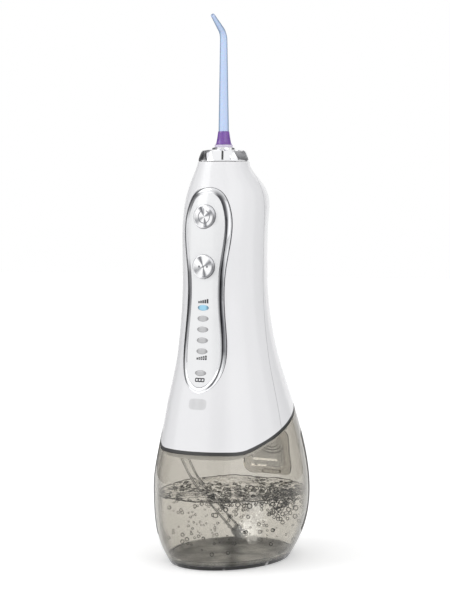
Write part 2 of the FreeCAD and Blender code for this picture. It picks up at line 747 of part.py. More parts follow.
def battery_tabs():
    top = CELL_BOTTOM + CELL_LENGTH
    upper = box((-3, CELL_Y - CELL_RADIUS, top), (3, CELL_Y + 3, top + TAB_THICK))
    lower = box((-3, CELL_Y - CELL_RADIUS, CELL_BOTTOM - TAB_THICK), (3, CELL_Y + 3, CELL_BOTTOM))
    return Part.makeCompound([upper, lower])


def control_board():
    top = NECK_TOP - BOARD_TOP_DROP
    bottom = NECK_TOP - BOARD_BOTTOM_DROP
    board = rounded_block(BOARD_WIDTH, top - bottom, 1.5, 0, (top + bottom) / 2, BOARD_Y, BOARD_Y + BOARD_THICK)
    return board


def tact_switches():
    switches = []
    half = SWITCH_SIZE / 2
    for drop in (POWER_DROP, MODE_DROP):
        z = NECK_TOP - drop
        case = box((-half, switch_front(), z - half), (half, BOARD_Y, z + half))
        well = rod(PLUNGER_RADIUS + RUNNING_FIT, (0, switch_front() - 1, z), (0, BOARD_Y - 0.15, z))
        switches.append(case.cut(well))
    return Part.makeCompound(switches)


def board_lamps():
    lamps = []
    for drop in lamp_drops() + [CHARGE_DROP]:
        z = NECK_TOP - drop
        lamps.append(box((-1.6, BOARD_Y - 0.8, z - 0.8), (1.6, BOARD_Y, z + 0.8)))
    return Part.makeCompound(lamps)


# ---- motor and gears ------------------------------------------------------------------------
MOTOR_TOP = MOTOR_BOTTOM + MOTOR_LENGTH
PINION_LOW = MOTOR_TOP + BRACKET_THICK + 0.7
PINION_PITCH = MODULE * PINION_TEETH / 2
CROWN_PITCH = MODULE * CROWN_TEETH / 2
CROWN_Z = PINION_LOW + PINION_LENGTH / 2 + CROWN_PITCH
PITCH_PLANE = MOTOR_Y - PINION_PITCH
CROWN_FRONT = PITCH_PLANE - 0.6 - CROWN_THICK
ROD_Y = CROWN_FRONT - CRANK_PIN_HEIGHT - BODY_GAP - ROD_THICK / 2
CRANK_Z = CROWN_Z + CRANK_RADIUS
WRIST_Z = CRANK_Z + ROD_LENGTH
TOOTH_HALF = 0.18 * math.pi * MODULE      # half a tooth at the pitch line, with play


def motor_can():
    can = pipe(MOTOR_RADIUS, MOTOR_RADIUS - 0.8, (0, MOTOR_Y, MOTOR_BOTTOM + 2), (0, MOTOR_Y, MOTOR_TOP - 1))
    lid = rod(MOTOR_RADIUS, (0, MOTOR_Y, MOTOR_TOP - 1), (0, MOTOR_Y, MOTOR_TOP))
    nose = rod(3.2, (0, MOTOR_Y, MOTOR_TOP), (0, MOTOR_Y, MOTOR_TOP + 1.4))
    bore = rod(SHAFT_RADIUS + RUNNING_FIT, (0, MOTOR_Y, MOTOR_TOP - 2), (0, MOTOR_Y, MOTOR_TOP + 3))
    can = can.fuse([lid, nose]).cut(bore)
    for x in (-MOTOR_SCREW_X, MOTOR_SCREW_X):
        can = can.cut(rod(0.9, (x, MOTOR_Y, MOTOR_TOP - 2), (x, MOTOR_Y, MOTOR_TOP + 1)))
    return can


def motor_end_cap():
    cap = rod(MOTOR_RADIUS - 0.2, (0, MOTOR_Y, MOTOR_BOTTOM), (0, MOTOR_Y, MOTOR_BOTTOM + 2))
    bore = rod(SHAFT_RADIUS + RUNNING_FIT, (0, MOTOR_Y, MOTOR_BOTTOM + 0.6), (0, MOTOR_Y, MOTOR_BOTTOM + 3))
    return cap.cut(bore)


def motor_rotor():
    shaft = rod(SHAFT_RADIUS, (0, MOTOR_Y, MOTOR_BOTTOM + 0.8), (0, MOTOR_Y, PINION_LOW + PINION_LENGTH))
    core = rod(MOTOR_RADIUS - 3.0, (0, MOTOR_Y, MOTOR_BOTTOM + 8), (0, MOTOR_Y, MOTOR_TOP - 6))
    slots = []
    for step in range(3):
        spin = FreeCAD.Rotation(Z_AXIS, 120 * step)
        out = spin.multVec(X_AXIS)
        place = Vector(0, MOTOR_Y, MOTOR_BOTTOM + 7) + out * (MOTOR_RADIUS - 3.0)
        slots.append(Part.makeCylinder(2.6, MOTOR_LENGTH, place, Z_AXIS))
    return shaft.fuse(core.cut(slots))


def pinion():
    outer = PINION_PITCH + MODULE * 0.8
    root = PINION_PITCH - MODULE * 1.1
    points = []
    for tooth in range(PINION_TEETH):
        middle = -math.pi / 2 + 2 * math.pi * tooth / PINION_TEETH
        for radius, half in ((root, TOOTH_HALF * 1.5), (outer, TOOTH_HALF * 0.55)):
            angle = middle - half / radius
            points.append(Vector(radius * math.cos(angle), MOTOR_Y + radius * math.sin(angle), PINION_LOW))
        for radius, half in ((outer, TOOTH_HALF * 0.55), (root, TOOTH_HALF * 1.5)):
            angle = middle + half / radius
            points.append(Vector(radius * math.cos(angle), MOTOR_Y + radius * math.sin(angle), PINION_LOW))
    gear = Part.Face(Part.makePolygon(points + points[:1])).extrude(Vector(0, 0, PINION_LENGTH))
    return gear.cut(rod(SHAFT_RADIUS, (0, MOTOR_Y, PINION_LOW - 1), (0, MOTOR_Y, PINION_LOW + PINION_LENGTH + 1)))


def crown_gear():
    back = CROWN_FRONT + CROWN_THICK
    outer = CROWN_PITCH + CROWN_FACE / 2
    inner = CROWN_PITCH - CROWN_FACE / 2
    disc = rod(outer, (0, CROWN_FRONT, CROWN_Z), (0, back, CROWN_Z))
    hub = rod(3.0, (0, back, CROWN_Z), (0, MOTOR_Y + 1.0, CROWN_Z))
    height = MODULE * 1.6
    teeth = []
    for tooth in range(CROWN_TEETH):
        angle = -90 + (tooth + 0.5) * 360 / CROWN_TEETH
        wide = TOOTH_HALF * 1.35
        narrow = TOOTH_HALF * 0.55
        profile = [Vector(inner, back - 0.1, -wide), Vector(inner, back + height, -narrow),
                   Vector(inner, back + height, narrow), Vector(inner, back - 0.1, wide)]
        rib = Part.Face(Part.makePolygon(profile + profile[:1])).extrude(Vector(outer - inner - 0.1, 0, 0))
        rib.rotate(Vector(0, 0, 0), Y_AXIS, -angle)
        rib.translate(Vector(0, 0, CROWN_Z))
        teeth.append(rib)
    crank = rod(CRANK_PIN_RADIUS, (0, CROWN_FRONT - CRANK_PIN_HEIGHT, CRANK_Z), (0, CROWN_FRONT, CRANK_Z))
    gear = disc.fuse([hub, crank] + teeth)
    return gear.cut(rod(AXLE_RADIUS + RUNNING_FIT, (0, CROWN_FRONT + 0.8, CROWN_Z), (0, FAR, CROWN_Z)))


BRACKET_BACK_Y = MOTOR_Y + 3.0


def gear_axle():
    return rod(AXLE_RADIUS, (0, CROWN_FRONT + 1.0, CROWN_Z), (0, BRACKET_BACK_Y + BRACKET_THICK, CROWN_Z))


def gear_bracket():
    low = MOTOR_TOP
    back = BRACKET_BACK_Y + BRACKET_THICK
    plate = box((-12.5, CHASSIS_Y + CHASSIS_THICK, low), (12.5, back, low + BRACKET_THICK))
    wall = box((-8, BRACKET_BACK_Y, low), (8, back, CROWN_Z + 4.0))
    bracket = plate.fuse(wall)
    bracket = bracket.cut(rod(3.3, (0, MOTOR_Y, low - 1), (0, MOTOR_Y, low + 5)))
    for x in (-MOTOR_SCREW_X, MOTOR_SCREW_X):
        bracket = bracket.cut(rod(0.9, (x, MOTOR_Y, low - 1), (x, MOTOR_Y, low + 5)))
    bracket = bracket.cut(rod(AXLE_RADIUS, (0, 0, CROWN_Z), (0, FAR, CROWN_Z)))
    return bracket.common(FLOOR_FORM)


def motor_screws():
    solids = []
    for x in (-MOTOR_SCREW_X, MOTOR_SCREW_X):
        shank = rod(0.9, (x, MOTOR_Y, MOTOR_TOP - 0.9), (x, MOTOR_Y, MOTOR_TOP + BRACKET_THICK))
        head = rod(1.7, (x, MOTOR_Y, MOTOR_TOP + BRACKET_THICK), (x, MOTOR_Y, MOTOR_TOP + BRACKET_THICK + 1.0))
        solids.append(shank.fuse(head))
    return Part.makeCompound(solids)


# ---- pump -----------------------------------------------------------------------------------
def pump_bottom():
    return WRIST_Z - 0.2


PISTON_TOP = WRIST_Z + 12.0


def pump_top():
    return PISTON_TOP + 1.0


def piston_rod():
    low = ROD_Y - ROD_THICK / 2
    high = ROD_Y + ROD_THICK / 2
    big = rod(ROD_BIG_EYE, (0, low, CRANK_Z), (0, high, CRANK_Z))
    small = rod(ROD_SMALL_EYE, (0, low, WRIST_Z), (0, high, WRIST_Z))
    bar = box((-1.3, low, CRANK_Z), (1.3, high, WRIST_Z))
    link = big.fuse([small, bar])
    link = link.cut(rod(CRANK_PIN_RADIUS + RUNNING_FIT, (0, -FAR, CRANK_Z), (0, FAR, CRANK_Z)))
    return link.cut(rod(WRIST_RADIUS + RUNNING_FIT, (0, -FAR, WRIST_Z), (0, FAR, WRIST_Z)))


def wrist_pin():
    return rod(WRIST_RADIUS, (0, ROD_Y - 3.4, WRIST_Z), (0, ROD_Y + 3.4, WRIST_Z))


def piston():
    radius = CYLINDER_BORE - RUNNING_FIT
    body = rod(radius, (0, ROD_Y, WRIST_Z - 2.6), (0, ROD_Y, PISTON_TOP))
    half_slot = ROD_THICK / 2 + 0.2
    slot = box((-FAR, ROD_Y - half_slot, WRIST_Z - 5), (FAR, ROD_Y + half_slot, WRIST_Z + 3.0))
    groove = seal_ring(CYLINDER_BORE + 1.0)
    body = body.cut(slot).cut(groove)
    return body.cut(rod(WRIST_RADIUS, (0, -FAR, WRIST_Z), (0, FAR, WRIST_Z)))


def seal_ring(outer):
    low = PISTON_TOP - 4.0
    return pipe(outer, CYLINDER_BORE - 1.2, (0, ROD_Y, low), (0, ROD_Y, low + 2.2))


def piston_seal():
    return seal_ring(CYLINDER_BORE - 0.02)


def pump_cylinder():
    return pipe(CYLINDER_RADIUS, CYLINDER_BORE, (0, ROD_Y, pump_bottom()), (0, ROD_Y, pump_top()))


def port_z():
    return pump_top() + 4.0


def pump_head():
    low = pump_top()
    top = low + HEAD_HEIGHT
    head = rod(HEAD_RADIUS, (0, ROD_Y, low), (0, ROD_Y, top))
    port = rod(PORT_RADIUS, (TUBE_X + 4.0, TUBE_Y, port_z()), (0, TUBE_Y, port_z()))
    back = CHASSIS_Y + CHASSIS_THICK
    z = low + LUG_HEIGHT
    lug = box((-HEAD_RADIUS - 5.0, back, z - 2.4), (HEAD_RADIUS + 5.0, back + LUG_THICK, z + 2.4))
    head = head.fuse([port, lug])
    for side in (-1, 1):
        head = head.cut(head_screw(side))
    head = head.cut(rod(TUBE_BORE, (TUBE_X, TUBE_Y, port_z()), (0, TUBE_Y, port_z())))
    head = head.cut(rod(1.5, (0, ROD_Y, low - 1), (0, ROD_Y, top + 1)))
    head = head.cut(rod(2.4, (0, ROD_Y, top - 5.0), (0, ROD_Y, top + 1)))
    return head.cut(rod(2.2, (TUBE_X + 6.0, TUBE_Y, port_z()), (TUBE_X + 10.0, TUBE_Y, port_z())))


def duckbill(start, way, radius, length):
    """Rubber valve: a ring that narrows to two closed lips."""
    start = Vector(*start)
    ring = Part.makeCylinder(radius, length * 0.35, start, way)
    lips = Part.makeCone(radius * 0.85, 0.5, length * 0.65, start + way * (length * 0.35), way)
    return ring.fuse(lips).cut(Part.makeCylinder(0.45, length * 0.7, start, way))


def inlet_valve():
    return duckbill((TUBE_X + 6.0, TUBE_Y, port_z()), X_AXIS, 2.15, 4.0)


def outlet_valve():
    top = pump_top() + HEAD_HEIGHT
    return duckbill((0, ROD_Y, top - 4.9), Z_AXIS, 2.35, 4.6)


def head_screw(side):
    x = side * (HEAD_RADIUS + 2.6)
    back = CHASSIS_Y + CHASSIS_THICK
    z = pump_top() + LUG_HEIGHT
    shank = rod(0.9, (x, CHASSIS_Y - 2.0, z), (x, back + LUG_THICK, z))
    return shank.fuse(rod(1.8, (x, back + LUG_THICK, z), (x, back + LUG_THICK + 1.2, z)))


def head_screws():
    return Part.makeCompound([head_screw(side) for side in (-1, 1)])


def inlet_tube():
    x, y = connector_place().x, connector_place().y
    points = [Vector(x, y, connector_top()), Vector(x, y, connector_top() + 6.0),
              Vector(TUBE_X, TUBE_Y, connector_top() + 38.0), Vector(TUBE_X, TUBE_Y, port_z()),
              Vector(TUBE_X + 4.0, TUBE_Y, port_z())]
    tube, length = rounded_tube(points, TUBE_RADIUS, [16.0, 12.0, 2.8])
    return tube


# ---- nozzle ---------------------------------------------------------------------------------
def on_nozzle(radius, low, high):
    return rod(radius, (0, NOZZLE_Y, low), (0, NOZZLE_Y, high))


def nozzle_seat():
    low = NECK_TOP - SEAT_DROP
    high = NECK_TOP - NECK_PLATE - 1.7
    head_top = pump_top() + HEAD_HEIGHT
    seat = on_nozzle(SEAT_RADIUS, low, high)
    duct = rod(3.6, (0, ROD_Y, head_top), (0, ROD_Y, low + 3.6))
    seat = seat.fuse(duct)
    seat = seat.cut(on_nozzle(SOCKET_RADIUS + RUNNING_FIT, NECK_TOP - SOCKET_DEPTH - BODY_GAP, high + 1))
    seat = seat.cut(on_nozzle(STEM_RADIUS + RUNNING_FIT, NECK_TOP - STEM_DEPTH - BODY_GAP, high + 1))
    seat = seat.cut(rod(1.1, (0, ROD_Y, head_top - 1), (0, ROD_Y, low + 1.8)))
    seat = seat.cut(rod(1.1, (0, NOZZLE_Y, low + 1.8), (0, ROD_Y, low + 1.8)))
    return seat.cut(on_nozzle(1.1, low + 1.8, NECK_TOP - STEM_DEPTH))


def socket_groove(outer):
    low = NECK_TOP - SOCKET_DEPTH + 3.0
    return on_nozzle(outer, low, low + 1.6).cut(on_nozzle(SOCKET_RADIUS - 1.3, low, low + 1.6))


def clip_low():
    return NECK_TOP - NECK_PLATE - 1.3


def rotary_socket():
    socket = on_nozzle(SOCKET_RADIUS, NECK_TOP - SOCKET_DEPTH, NECK_TOP + SOCKET_RISE)
    socket = socket.cut(socket_groove(SOCKET_RADIUS + 1))
    clip = on_nozzle(SOCKET_RADIUS + 1, clip_low(), clip_low() + 0.9)
    socket = socket.cut(clip.cut(on_nozzle(SOCKET_RADIUS - 0.8, clip_low(), clip_low() + 0.9)))
    return socket.cut(on_nozzle(STEM_RADIUS + RUNNING_FIT, 0, NECK_TOP + SOCKET_RISE + 1))


def socket_oring():
    return socket_groove(SOCKET_RADIUS + RUNNING_FIT - 0.02)


def socket_clip():
    ring = on_nozzle(SOCKET_RADIUS + 1.5, clip_low(), clip_low() + 0.9)
    ring = ring.cut(on_nozzle(SOCKET_RADIUS - 0.8, clip_low(), clip_low() + 0.9))
    mouth = box((-2.5, NOZZLE_Y, clip_low() - 1), (2.5, FAR, clip_low() + 2))
    return ring.cut(mouth)


def chrome_collar():
    low = NECK_TOP + BODY_GAP
    skirt = Part.makeCone(COLLAR_RADIUS, COLLAR_TOP_RADIUS, COLLAR_HEIGHT, Vector(0, NOZZLE_Y, low), Z_AXIS)
    top = low + COLLAR_HEIGHT
    ring = on_nozzle(COLLAR_RING_RADIUS, low, NECK_TOP + COLLAR_RING_TOP)
    collar = skirt.fuse(ring)
    collar = collar.cut(on_nozzle(SOCKET_RADIUS, low - 1, NECK_TOP + SOCKET_RISE))
    hollow = on_nozzle(COLLAR_TOP_RADIUS - 1.6, low - 1, top - 1.6).cut(on_nozzle(SOCKET_RADIUS + 1.2, low - 1, top))
    collar = collar.cut(hollow)
    return collar.cut(on_nozzle(STEM_RADIUS + RUNNING_FIT, low, NECK_TOP + COLLAR_RING_TOP + 1))


FLANGE_LOW = NECK_TOP + COLLAR_RING_TOP + 0.1
TUBE_LOW = FLANGE_LOW + FLANGE_THICK


def tip_groove(outer):
    low = NECK_TOP - STEM_DEPTH + 2.5
    return on_nozzle(outer, low, low + 1.6).cut(on_nozzle(STEM_RADIUS - 0.8, low, low + 1.6))


def tip_base():
    stem = on_nozzle(STEM_RADIUS, NECK_TOP - STEM_DEPTH, FLANGE_LOW)
    flange = on_nozzle(FLANGE_RADIUS, FLANGE_LOW, TUBE_LOW)
    base = stem.fuse(flange).cut(tip_groove(STEM_RADIUS + 1))
    return base.cut(on_nozzle(TIP_BORE, 0, NECK_TOP + 20))


def tip_oring():
    return tip_groove(STEM_RADIUS + RUNNING_FIT - 0.02)


def tip_ring():
    ring = Part.makeCone(TIP_RING_RADIUS, TIP_ROOT_RADIUS - 0.1, TIP_RING_HEIGHT,
                         Vector(0, NOZZLE_Y, TUBE_LOW), Z_AXIS)
    return ring.cut(on_nozzle(TIP_ROOT_RADIUS - 0.6, TUBE_LOW - 1, TUBE_LOW + TIP_RING_HEIGHT + 1))


def tip_form(root, bend, end):
    """Tapered tube: straight, bent forwards, straight again."""
    angle = math.radians(TIP_ANGLE)
    end_top = (TIP_REACH * math.cos(angle) + TIP_ARC * math.sin(angle) + TIP_END_RADIUS * math.sin(angle))
    bend_low = FLANGE_LOW + TIP_LENGTH - end_top
    ring_top = TUBE_LOW + TIP_RING_HEIGHT
    straight = Part.makeCone(root, bend, bend_low - ring_top, Vector(0, NOZZLE_Y, ring_top), Z_AXIS)
    profile = Part.Face(Part.Wire([Part.makeCircle(bend, Vector(0, NOZZLE_Y, bend_low), Z_AXIS)]))
    elbow = profile.revolve(Vector(0, NOZZLE_Y - TIP_ARC, bend_low), X_AXIS, TIP_ANGLE)
    start = Vector(0, NOZZLE_Y - TIP_ARC * (1 - math.cos(angle)), bend_low + TIP_ARC * math.sin(angle))
    way = Vector(0, -math.sin(angle), math.cos(angle))
    return straight.fuse([elbow, Part.makeCone(bend, end, TIP_REACH, start, way)])


def jet_tube():
    ring_top = TUBE_LOW + TIP_RING_HEIGHT
    tube = tip_form(TIP_ROOT_RADIUS, TIP_BEND_RADIUS, TIP_END_RADIUS)
    tube = tube.fuse(on_nozzle(TIP_ROOT_RADIUS - 0.6, TUBE_LOW, ring_top))
    tube = tube.cut(tip_form(TIP_BORE, TIP_BORE * 0.8, JET_BORE))
    return tube.cut(on_nozzle(TIP_BORE, TUBE_LOW - 1, ring_top))


# ---- charging socket ------------------------------------------------------------------------
def port_block(shrink):
    end = port_end()
    return rounded_block(PORT_WIDTH - 2 * shrink, PORT_THICK - 2 * shrink, PORT_CORNER - shrink,
                         0, PORT_HEIGHT, end - PORT_LENGTH, end)


def charging_socket():
    end = port_end()
    wall = 0.3
    hollow = port_block(wall).common(box((-FAR, end - PORT_LENGTH + 0.8, 0), (FAR, FAR, FAR * 3)))
    tongue = box((-3.3, end - PORT_LENGTH, PORT_HEIGHT - 0.35), (3.3, end - 1.8, PORT_HEIGHT + 0.35))
    return port_block(0.0).cut(hollow).fuse(tongue)


def port_cover():
    cover = OUTER.cut(body_solid(-COVER_THICK)).common(cover_outline(0.0))
    return cover


# ---- write ----------------------------------------------------------------------------------
PIECES = {
    "tank_shell": tank_shell,
    "tank_base": tank_base,
    "base_pad": base_pad,
    "fill_door": fill_door,
    "fill_door_seal": fill_door_seal,
    "fill_door_pin": fill_door_pin,
    "front_shell": front_shell,
    "rear_shell": rear_shell,
    "shell_screws": shell_screws,
    "panel_trim": panel_trim,
    "panel_plate": panel_plate,
    "lamp_lenses": lamp_lenses,
    "charge_window": charge_window,
    "power_button": lambda: button_cap(POWER_DROP),
    "mode_button": lambda: button_cap(MODE_DROP),
    "power_plunger": lambda: button_plunger(POWER_DROP),
    "mode_plunger": lambda: button_plunger(MODE_DROP),
    "button_seals": button_seals,
    "base_cap": base_cap,
    "tank_gasket": tank_gasket,
    "hose_connector": hose_connector,
    "suction_hose": suction_hose,
    "hose_filter": hose_filter,
    "chassis": chassis,
    "battery_cell": battery_cell,
    "battery_tabs": battery_tabs,
    "control_board": control_board,
    "tact_switches": tact_switches,
    "board_lamps": board_lamps,
    "motor_can": motor_can,
    "motor_end_cap": motor_end_cap,
    "motor_rotor": motor_rotor,
    "pinion": pinion,
    "crown_gear": crown_gear,
    "gear_axle": gear_axle,
    "gear_bracket": gear_bracket,
    "motor_screws": motor_screws,
    "connecting_rod": piston_rod,
    "wrist_pin": wrist_pin,
    "piston": piston,
    "piston_seal": piston_seal,
    "pump_cylinder": pump_cylinder,
    "pump_head": pump_head,
    "inlet_valve": inlet_valve,
    "outlet_valve": outlet_valve,
    "head_screws": head_screws,
    "inlet_tube": inlet_tube,
    "nozzle_seat": nozzle_seat,
    "rotary_socket": rotary_socket,
    "socket_oring": socket_oring,
    "socket_clip": socket_clip,
    "chrome_collar": chrome_collar,
    "tip_base": tip_base,
    "tip_oring": tip_oring,
    "tip_ring": tip_ring,
    "jet_tube": jet_tube,
    "charging_socket": charging_socket,
    "port_cover": port_cover,
}

for name, make in PIECES.items():
    write(name, make())
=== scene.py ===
"""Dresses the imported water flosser: casing, control panel, nozzle, tank with its water, and the stage."""
import math
import random
from functools import partial

import bmesh
import bpy
import numpy as np
from bpy.props import FloatProperty, FloatVectorProperty, IntProperty, PointerProperty
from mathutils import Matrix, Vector, noise
from mathutils.bvhtree import BVHTree


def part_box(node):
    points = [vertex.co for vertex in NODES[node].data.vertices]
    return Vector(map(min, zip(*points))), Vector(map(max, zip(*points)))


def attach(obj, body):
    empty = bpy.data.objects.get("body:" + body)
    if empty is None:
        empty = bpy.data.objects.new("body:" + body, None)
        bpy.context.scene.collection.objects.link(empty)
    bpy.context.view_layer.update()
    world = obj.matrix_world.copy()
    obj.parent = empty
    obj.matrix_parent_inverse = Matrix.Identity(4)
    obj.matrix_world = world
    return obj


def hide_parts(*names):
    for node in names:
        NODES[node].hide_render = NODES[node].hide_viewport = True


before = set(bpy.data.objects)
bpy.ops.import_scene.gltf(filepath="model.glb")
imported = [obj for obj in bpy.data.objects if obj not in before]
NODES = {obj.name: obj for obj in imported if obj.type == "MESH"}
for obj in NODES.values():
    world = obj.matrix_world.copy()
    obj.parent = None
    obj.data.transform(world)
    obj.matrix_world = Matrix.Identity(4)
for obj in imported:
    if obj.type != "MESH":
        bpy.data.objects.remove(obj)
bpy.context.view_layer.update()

bl_info = {
    "name": "Water flosser",
    "version": (1, 0, 0),
    "blender": (4, 5, 0),
    "location": "View3D > Sidebar > Flosser",
    "description": "Dresses a cordless water flosser and sets it on a plain stage",
    "category": "Object",
}

MM = 0.001
FRONT = Vector((0, -1, 0))
UP = Vector((0, 0, 1))
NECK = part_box("front_shell")[1].z
NOZZLE = (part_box("chrome_collar")[0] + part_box("chrome_collar")[1]) / 2
COLLAR_TURN = math.radians(25)
SEAM_LOW = (-9.6 * MM, 61 * MM)
SEAM_HIGH = (-4.5 * MM, 217 * MM)
HOSE_POINTS = [(-0.020, -0.0185, 0.0575), (-0.0157, -0.0165, 0.0448),
               (-0.008, -0.006, 0.0304), (0.0003, 0.003, 0.0156)]


# ---- what a user would change ---------------------------------------------------------------
class CasingLooks(bpy.types.PropertyGroup):
    white: FloatVectorProperty(name="White", description="Colour of the glossy shells", subtype="COLOR",
                               default=(0.80, 0.80, 0.815), min=0, max=1)
    gloss: FloatProperty(name="Roughness", description="Roughness of the shells", default=0.24,
                         min=0, max=1, subtype="FACTOR")
    seam: FloatProperty(name="Seam", description="Half width of the line where the shells meet",
                        default=0.00016, unit="LENGTH", precision=5)


class PanelLooks(bpy.types.PropertyGroup):
    trim_rise: FloatProperty(name="Trim rise", description="How far the band's crown stands over the shell",
                             default=0.0006, unit="LENGTH", precision=4)
    ink: FloatVectorProperty(name="Ink", description="Colour of the printed marks", subtype="COLOR",
                             default=(0.025, 0.025, 0.03), min=0, max=1)
    lit: FloatVectorProperty(name="Lit lamp", description="Colour of the lamp that is on", subtype="COLOR",
                             default=(0.24, 0.50, 0.66), min=0, max=1)
    unlit: FloatVectorProperty(name="Unlit lamp", description="Colour of the lamps that are off",
                               subtype="COLOR", default=(0.50, 0.50, 0.51), min=0, max=1)


class NozzleLooks(bpy.types.PropertyGroup):
    tube: FloatVectorProperty(name="Tube", description="Colour of the jet tube", subtype="COLOR",
                              default=(0.53, 0.645, 0.87), min=0, max=1)
    ring: FloatVectorProperty(name="Ring", description="Colour of the marking ring", subtype="COLOR",
                              default=(0.17, 0.062, 0.34), min=0, max=1)
    facets: IntProperty(name="Facets", description="Wide facets round the collar", default=6, min=3, max=16)
    lean: FloatProperty(name="Facet lean", description="Turn of the facets from bottom to top",
                        default=math.radians(-9), subtype="ANGLE")


class TankLooks(bpy.types.PropertyGroup):
    smoke: FloatVectorProperty(name="Smoke", description="Tint of one face of the tank wall",
                               subtype="COLOR", default=(0.845, 0.830, 0.803), min=0, max=1)
    water_level: FloatProperty(name="Water level", description="Height of the water over the table",
                               default=0.0367, unit="LENGTH", precision=4)
    wave: FloatProperty(name="Wave", description="Height of the ripples", default=0.0007,
                        unit="LENGTH", precision=4)
    bubbles: IntProperty(name="Bubbles", description="Bubbles spread through the water", default=420,
                         min=0, max=2000)


class StageLooks(bpy.types.PropertyGroup):
    distance: FloatProperty(name="Camera distance", description="From the flosser's axis", default=0.930,
                            unit="LENGTH")
    height: FloatProperty(name="Camera height", description="Over the table", default=0.186, unit="LENGTH")
    azimuth: FloatProperty(name="Camera azimuth", description="Turn round from the front",
                           default=math.radians(28), subtype="ANGLE")
    lens: FloatProperty(name="Lens", description="Focal length in millimetres on a 36 mm frame",
                        default=101.1)
    light: FloatProperty(name="Light", description="Strength of the white surroundings' light", default=0.88,
                         min=0, max=1)
    floor: FloatVectorProperty(name="Floor", description="Colour of the floor", subtype="COLOR",
                               default=(0.86, 0.86, 0.86), min=0, max=1)


# ---- shader nodes ---------------------------------------------------------------------------
def arithmetic(operation, swapped=False):
    """A Signal's method for one operator; swapped when the Signal stands on its right."""
    def method(self, other):
        first, second = (other, self) if swapped else (self, other)
        return self.maths(operation, first, second)
    return method


class Signal:
    """A node's output. Arithmetic on it adds Math nodes."""

    __add__ = __radd__ = arithmetic("ADD")
    __sub__ = arithmetic("SUBTRACT")
    __rsub__ = arithmetic("SUBTRACT", swapped=True)
    __mul__ = __rmul__ = arithmetic("MULTIPLY")
    __truediv__ = arithmetic("DIVIDE")
    __pow__ = arithmetic("POWER")
    __lt__ = arithmetic("LESS_THAN")
    __gt__ = arithmetic("GREATER_THAN")

    def __init__(self, finish, socket):
        self.finish = finish
        self.socket = socket

    def maths(self, operation, *terms):
        return self.finish.node("ShaderNodeMath", {"operation": operation}, dict(enumerate(terms)))

    def __abs__(self):
        return self.maths("ABSOLUTE", self)

    def sine(self):
        return self.maths("SINE", self)

    def turn_from(self, other):
        """The angle whose sine and cosine go as this and the other."""
        return self.maths("ARCTAN2", self, other)

    def clamped(self):
        return self.finish.node("ShaderNodeClamp", {}, {"Value": self})

    def ramp(self, *stops):
        """A colour ramp of (place, colour) stops."""
        return self.finish.node("ShaderNodeValToRGB", {"stops": stops}, {"Fac": self})

    def smooth(self, low, high):
        """0 up to low, 1 from high on, and a soft step between."""
        return self.finish.node("ShaderNodeMapRange", {"interpolation_type": "SMOOTHSTEP"},
                                {"Value": self, "From Min": low, "From Max": high})


def socket_name(key):
    return key.replace("_", " ").title().replace("Ior", "IOR")


